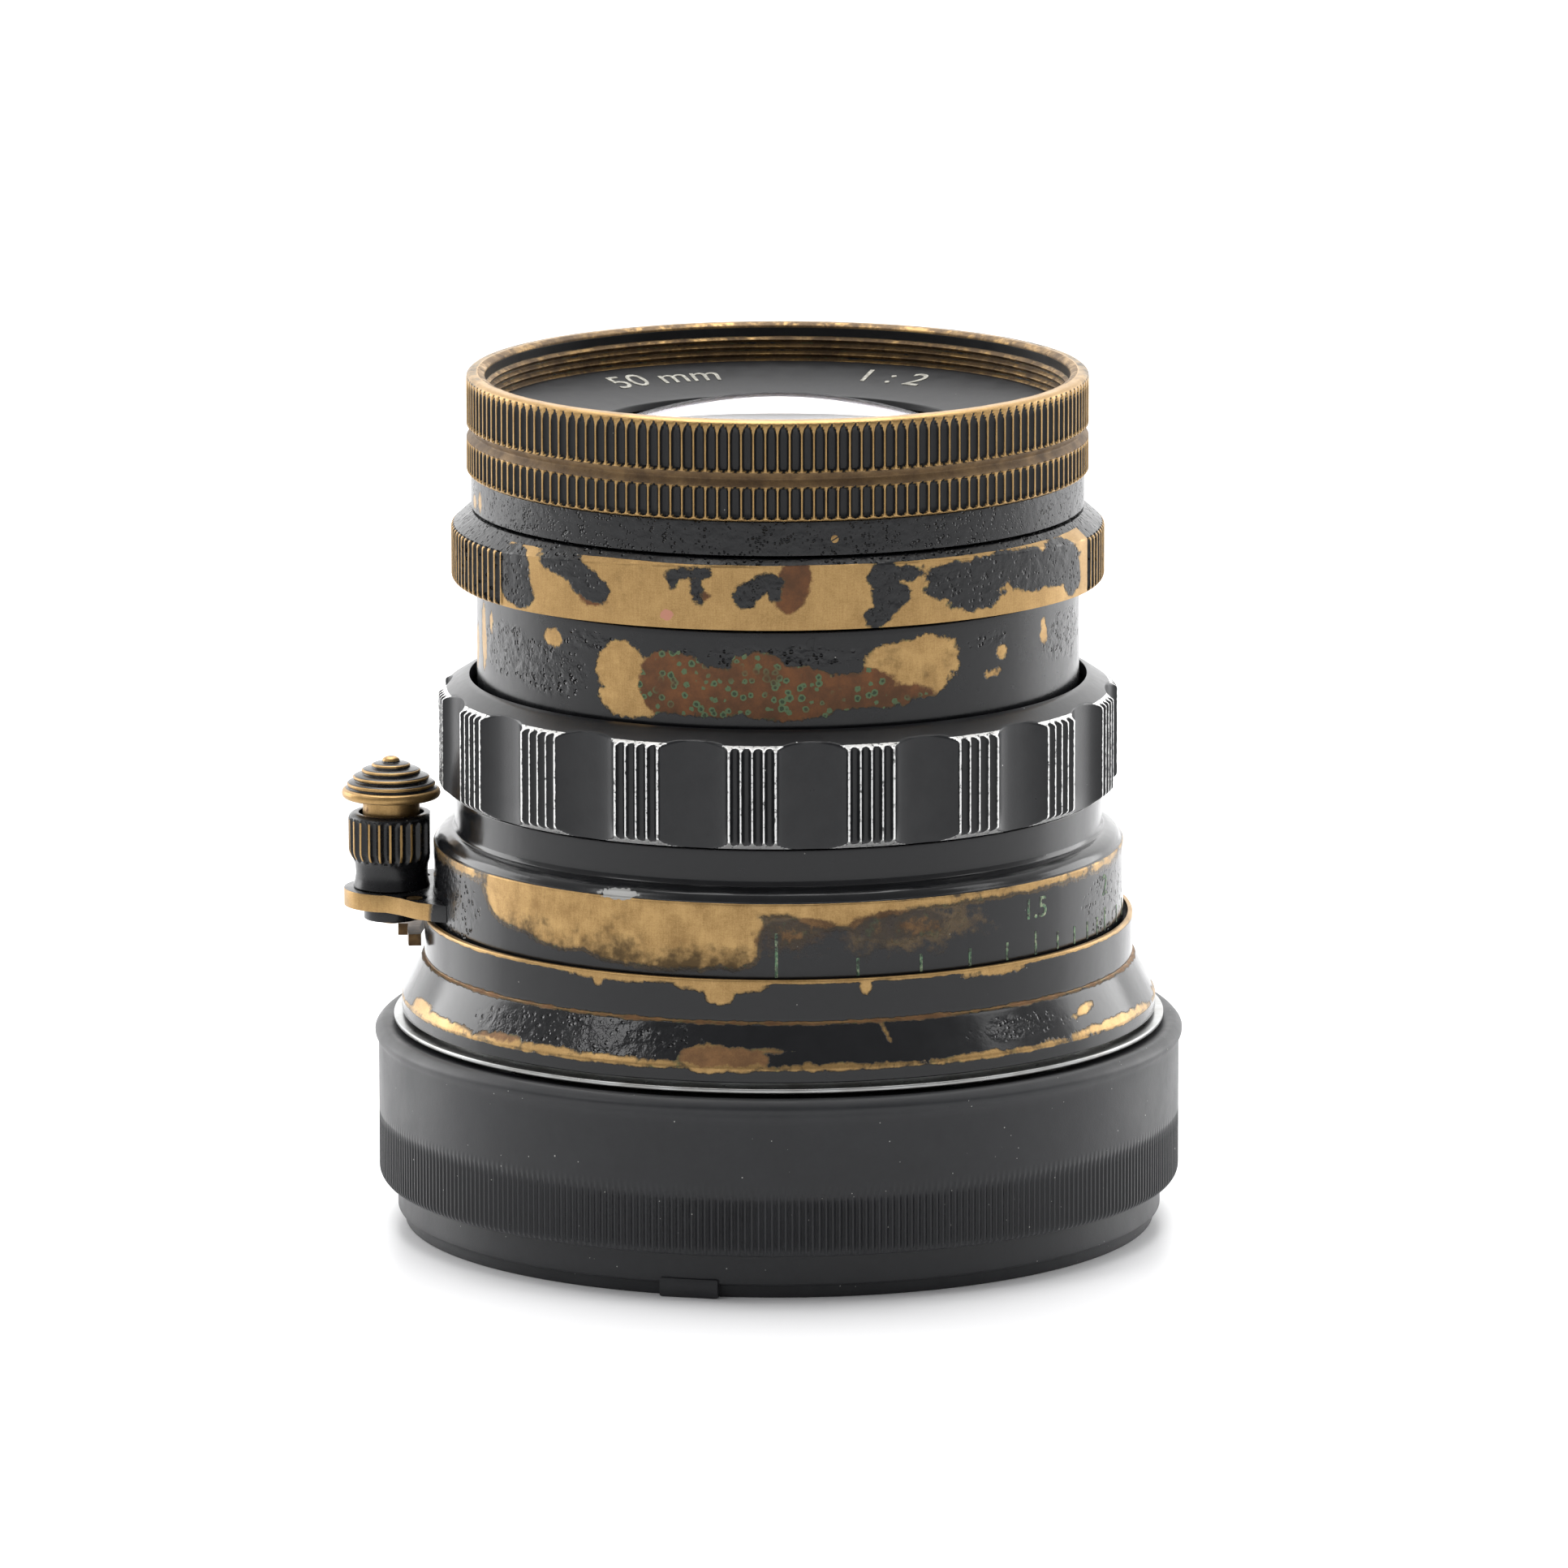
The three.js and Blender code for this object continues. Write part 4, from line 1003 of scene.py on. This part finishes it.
def aperture_field(a, r, z, wear, depth):
    away = from_smooth(a)
    islands = spots(a, z, 21.4, ISLANDS)
    smooth = np.where(z < 48.62, -islands, -0.8 + (wear > 0) * 0.6)
    crest = np.clip(1 - depth / 0.09, 0, 1) * 0.9 - 0.42
    knurled = np.where(z < 48.0, crest, -0.9)
    front = np.where(away < SMOOTH_HALF, smooth, knurled)
    on_side = (r > 20.85) & (z > 44.25)
    return {"bare": np.where(on_side, np.clip(front, -1.2, 1.2), -1.2),
            "copper": spots(a, z, 21.4, APERTURE_COPPER),
            "pitted": np.full(r.shape, 0.42),
            "pink": spots(a, z, 21.4, PINK_SPOT)}


knurl_phase = np.array([0, 0.06, 0.1, 0.17, 0.3, 0.5, 0.7, 0.83, 0.9, 0.94])
knurl_angles = ((np.arange(KNURL_COUNT)[:, None] + knurl_phase) / KNURL_COUNT).ravel() * 2 * math.pi
knurl_angles -= math.pi
aperture_ring = turn("aperture_ring", [
    (19.2, 44.3), (21.95, 44.3, 0.12), (APERTURE_RADIUS, 44.5, 0.1),
    (APERTURE_RADIUS, 47.85, 0.12, 0.2),
    (20.75, 49.02, 0.1), (19.2, 49.02),
], steps=knurl_angles, longest=0.14, cut=aperture_cut, field=aperture_field)
aperture_lacquer = lacquered("aperture_lacquer", pits=1.6, gloss=0.24, grain=1.05, tarnish=0.4)
pink = (aperture_lacquer.attribute("pink") + aperture_lacquer.noise(3, 2) * 0.3).step(0, 0.08)
painted = aperture_lacquer.shader.inputs["Base Color"].links[0].from_socket
aperture_lacquer.set("Base Color", aperture_lacquer.mix(
    pink, Value(aperture_lacquer, painted), (0.42, 0.20, 0.14)))
aperture_lacquer.on(aperture_ring)
fit(aperture_ring, "aperture_ring", "black_paint", "aperture_ring")

# The stops are engraved on the ring's cone, opposite the smooth front.
STOP_SPACING = 12.5
stop_marks = []
for k, stop in enumerate(("2", "2.8", "4", "5.6", "8", "11", "16")):
    stop_marks.append(numeral(
        f"stop_figure_{stop}", stop, INFINITY_ANGLE + STOP_SPACING * k, 21.32, 48.52, 1.15, 1.1))
stop_marks.append(curved_strip("stop_index", INFINITY_ANGLE, 20.7, 49.6, 51.0, 0.28))
white_fill.on(*stop_marks)
for piece in stop_marks[:-1]:
    fit(piece, "aperture_ring", "black_paint")
fit(stop_marks[-1], "barrel", "black_paint")

# ---- front barrel -------------------------------------------------------------------------
# The short lacquered neck between the aperture ring and the front ring, with a tiny set screw.
NECK_RADIUS = 20.7
neck = turn("front_barrel", [
    (19.2, 49.2), (NECK_RADIUS, 49.2, 0.06), (NECK_RADIUS, 51.5, 0.06), (19.4, 51.5), (19.4, 54.0),
    (18.2, 54.0), (18.2, 50.8), (19.2, 50.8),
], steps=360, longest=0.4, field=lambda a, r, z, wear, depth: {
    "bare": spots(a, z, NECK_RADIUS, [(-75, 50.2, 0.5, 0.8), (-80, 49.9, 0.7, 0.5)]),
    "copper": r * 0 - 1, "pitted": r * 0 + 0.45})
neck_lacquer = lacquered("neck_lacquer", pits=1.0, pit_size=0.26, gloss=0.24, grain=0.6)
neck_lacquer.on(neck)
fit(neck, "barrel", "black_paint", "front_barrel")
pin = set_in(slotted_screw("neck_set_screw", 0.26, 0.6, 0.09), NECK_RADIUS + 0.02, 10.5, 50.3, 30)
brass.on(pin)
fit(pin, "barrel", "steel", "neck_screw")

# ---- front ring ---------------------------------------------------------------------------
# Two knurled bands with a groove between them. The flutes still hold their black, while the
# crests, the rim and the groove show brass. The bore is threaded for a filter.
FRONT_RADIUS = 21.0
RIM_TOP = 58.3
THREAD_PITCH = 0.5
THREAD_DEPTH = 0.27
BORE_RADIUS = 19.75
GROOVE_HEIGHT = 54.35
BANDS = ((51.61, 53.93), (54.77, 58.16))


def front_cut(a, r, z):
    cut = r.copy()
    for low, high in BANDS:
        top_share = 0.55 if low > 54 else 1.4
        room = np.minimum((z - low) * 1.4, (high - z) * top_share)
        inside = (z > low) & (z < high) & (r > 20.7)
        cut = np.where(inside, np.minimum(r, FRONT_RADIUS - 0.3 * flute_depth(a, room, 1.25)), cut)
    return cut


def front_field(a, r, z, wear, depth):
    inside = r < 20.3
    crest = np.clip(1 - depth / 0.09, 0, 1) * 0.62 - 0.26
    groove = np.where(np.abs(z - GROOVE_HEIGHT) < 0.46, 0.2, crest)
    facing = np.clip(np.cos(a), 0, 1) * 0.35
    rim = np.where((z > 57.95) & (depth < 0.05), 0.02 + facing, groove)
    rim = np.where((z > 58.1), 0.06 + facing, rim)
    threaded = (z > 55.3) & (z < 57.5)
    thread = np.where(threaded, (19.78 - r) * 1.7 - 0.02, np.where(z > 57.95, 0.25, -0.6))
    dark = np.where(np.abs(z - GROOVE_HEIGHT) < 0.5, 0.5, -1.0)
    return {"bare": np.where(inside, thread, rim), "copper": np.where(inside, 0.06, dark)}


thread_rows = []
height = 55.4
while height < 57.4:
    thread_rows += [(BORE_RADIUS, height + 0.05, 0.03),
                    (BORE_RADIUS - THREAD_DEPTH, height + 0.25, 0.05),
                    (BORE_RADIUS, height + 0.45, 0.03)]
    height += THREAD_PITCH
front_ring = turn("front_ring", [
    (BORE_RADIUS, 51.6), (20.85, 51.55, 0.08), (FRONT_RADIUS, 51.7, 0.06), (FRONT_RADIUS, 53.9, 0.06, 0.5),
    (20.62, GROOVE_HEIGHT, 0.12), (FRONT_RADIUS, 54.8, 0.06, 0.5), (FRONT_RADIUS, 58.08, 0.14, 1),
    (20.72, 58.28, 0.12, 1), (20.1, RIM_TOP, 0.12, 0.7), (BORE_RADIUS, 58.1, 0.1, 0.5),
    *thread_rows[::-1], (BORE_RADIUS, 55.3),
], steps=knurl_angles, longest=0.17, cut=front_cut, field=front_field)
front_lacquer = lacquered("front_lacquer", pits=0.15, gloss=0.34, grain=0.36, tarnish=0.45,
                          brown_pair=((0.20, 0.125, 0.055), (0.085, 0.052, 0.026)))
front_lacquer.on(front_ring)
fit(front_ring, "barrel", "black_paint", "front_ring")

# ---- name ring ----------------------------------------------------------------------------
# A shallow black cone that holds the front element. It carries only the lens's plain figures.
CONE_FOOT = (12.95, 54.42)
CONE_TOP = (19.0, 55.72)
name_ring = turn("name_ring", [
    (12.85, 54.0), (17.9, 54.0), (17.9, 54.3), (19.45, 54.3), (19.45, 55.7, 0.05), (*CONE_TOP, 0.08),
    (*CONE_FOOT, 0.08),
], steps=256, longest=0.6, field=lambda a, r, z, wear, depth: {"copper": r * 0 - 1})
ring_black = lacquered("ring_black", pits=0.1, gloss=0.36, grain=0.4)
ring_black.on(name_ring)
fit(name_ring, "barrel", "black_paint", "name_ring")


def laid_figure(name, text, angle, radius, size):
    """A figure that lies on the name ring's cone, its foot towards the axis."""
    mesh = flat_figure(name, text, size, 0.03)
    rise = (CONE_TOP[1] - CONE_FOOT[1]) / (CONE_TOP[0] - CONE_FOOT[0])
    for vertex in mesh.vertices:
        x, y, z = vertex.co
        away = radius + y
        turned_to = math.radians(angle) - x / radius
        height = CONE_FOOT[1] + (away - CONE_FOOT[0]) * rise + z + 0.02
        vertex.co = Vector((away * math.sin(turned_to), -away * math.cos(turned_to), height)) * MM
    return finished(mesh)


ring_figures = [laid_figure("ring_figure_aperture", "1 : 2", 152, 16.7, 3.0),
                laid_figure("ring_figure_length", "50 mm", 208, 16.7, 3.0)]
white_fill.on(*ring_figures)
for piece in ring_figures:
    fit(piece, "barrel", "black_paint")

# ---- glass --------------------------------------------------------------------------------
# Seven coated elements in six groups. The front one is domed and shows a faint violet coating.
glass = Finish("coated_glass", Roughness=0.02, IOR=1.6, Specular_IOR_Level=0.05)
glass.shader.inputs["Transmission Weight"].default_value = 1.0
glass.set("Base Color", glass.mix((glass.noise(0.05, 2) + 0.1).step(-0.3, 0.3),
                                  (0.93, 0.90, 0.97), (0.97, 0.95, 0.99)))
glass.set("Roughness", (glass.noise(0.6, 4) - 0.05).step(-0.1, 0.5) * 0.05 + 0.01)


def bulge(radius, rim, vertex_z, rise):
    return vertex_z + rise * (radius / rim) ** 2


def element(name, rim, front, back):
    steps = np.linspace(0, rim, 14)
    outline = [(r, bulge(r, rim, *back)) for r in steps]
    outline += [(r, bulge(r, rim, *front)) for r in steps[::-1]]
    piece = turn(name + "_glass", outline, steps=96, longest=3)
    glass.on(piece)
    return fit(piece, "barrel", "coated_glass", name)


element("element_1", 13.4, (56.3, -2.8), (51.9, -0.5))
element("element_2", 12.2, (51.2, -2.6), (48.9, -1.2))
element("element_3", 11.2, (48.2, -0.9), (47.6, -1.0))
element("element_4", 10.8, (38.8, 1.6), (37.4, 0.8))
element("element_5", 10.8, (37.1, 0.8), (32.4, 2.6))
element("element_6", 12.0, (31.6, -1.2), (27.4, 1.6))
element("element_7", 12.6, (26.6, -1.0), (22.8, 1.4))

# ---- inner pieces -------------------------------------------------------------------------
# Cells, iris, key, screws and rings keep their exact shape and get the finish of the real ones.
browned = Finish("browned_brass", Metallic=0.8)
browned.set("Base Color", browned.mix((browned.noise(1.5, 4) + 0.05).step(-0.25, 0.3),
                                      (0.15, 0.09, 0.038), (0.06, 0.035, 0.016)))
browned.set("Roughness", browned.noise(2, 3) * 0.2 + 0.45)
browned.bump(browned.noise(5, 3) * 0.008)
for finish, names in {
    flat_black: ["front_cell", "rear_cell", *[f"iris_blade_{k:02d}" for k in range(1, 11)]],
    browned: ["infinity_catch"],
    brass: ["guide_key", "tab_screw_1", "tab_screw_2", "iris_ring", "blade_carrier", "rear_retainer",
            "head_lock_ring"],
    steel: ["flange_screw_1", "flange_screw_2", "flange_screw_3", "flange_screw_4", "catch_screw",
            "click_ball", "click_spring", "drive_pin"],
}.items():
    finish.on(*[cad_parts[name] for name in names])

# ---- floor and light ----------------------------------------------------------------------
# A white sweep under soft boxes. The sides of the studio are brighter than the side behind the
# camera, which draws pale bands down the flanks of the lacquer.
floor_mesh = bpy.data.meshes.new("floor")
floor_mesh.from_pydata([(x, y, 0) for x, y in ((-3, -3), (3, -3), (3, 3), (-3, 3))], [], [(0, 1, 2, 3)])
floor = bpy.data.objects.new("floor", floor_mesh)
scene.collection.objects.link(floor)
floor_paint = Finish("white_sweep", Roughness=0.35, IOR=1.35)
floor_paint.set("Base Color", floor_paint.mix((floor_paint.noise(0.01, 2) + 0.1).step(-0.4, 0.4),
                                              (0.90, 0.90, 0.905), (0.88, 0.88, 0.885)))
floor_paint.on(floor)


def soft_box(name, place, towards, width, height, power):
    light = bpy.data.lights.new(name, "AREA")
    light.shape = "RECTANGLE"
    light.size, light.size_y = width, height
    light.energy = power
    lamp = bpy.data.objects.new(name, light)
    scene.collection.objects.link(lamp)
    lamp.location = place
    lamp.rotation_euler = (Vector(towards) - Vector(place)).to_track_quat("-Z", "Y").to_euler()
    return lamp


soft_box("top_box", (0, 0.25, 0.9), (0, 0, 0), 0.7, 0.7, 9)
soft_box("left_box", (-0.8, 0.45, 0.3), (0, 0, 0.03), 0.5, 0.6, 4)
soft_box("right_box", (0.8, 0.5, 0.25), (0, 0, 0.03), 0.5, 0.5, 3)
soft_box("front_left_box", (-0.66, -0.36, 0.62), (0, 0, 0.03), 0.22, 0.3, 1.1)
soft_box("front_right_box", (0.74, -0.12, 0.62), (0, 0, 0.03), 0.22, 0.3, 0.7)

world = bpy.data.worlds.new("studio")
scene.world = world
world.use_nodes = True
sky = world.node_tree
backdrop = sky.nodes["Background"]
direction = sky.nodes.new("ShaderNodeTexCoord")
split = sky.nodes.new("ShaderNodeSeparateXYZ")
ramp = sky.nodes.new("ShaderNodeValToRGB")
shift = sky.nodes.new("ShaderNodeMath")
shift.operation = "MULTIPLY_ADD"
shift.inputs[1].default_value = 0.5
shift.inputs[2].default_value = 0.5
ramp.color_ramp.elements[0].color = (0.17, 0.17, 0.175, 1)
ramp.color_ramp.elements[0].position = 0.1
ramp.color_ramp.elements[1].color = (0.34, 0.34, 0.34, 1)
ramp.color_ramp.elements[1].position = 0.5
far_side = ramp.color_ramp.elements.new(0.9)
far_side.color = (1.0, 1.0, 1.0, 1)
sky.links.new(direction.outputs["Generated"], split.inputs[0])
sky.links.new(split.outputs["Y"], shift.inputs[0])
sky.links.new(shift.outputs[0], ramp.inputs[0])
sky.links.new(ramp.outputs["Color"], backdrop.inputs["Color"])
backdrop.inputs["Strength"].default_value = 2.1
scene.view_settings.view_transform = "Standard"
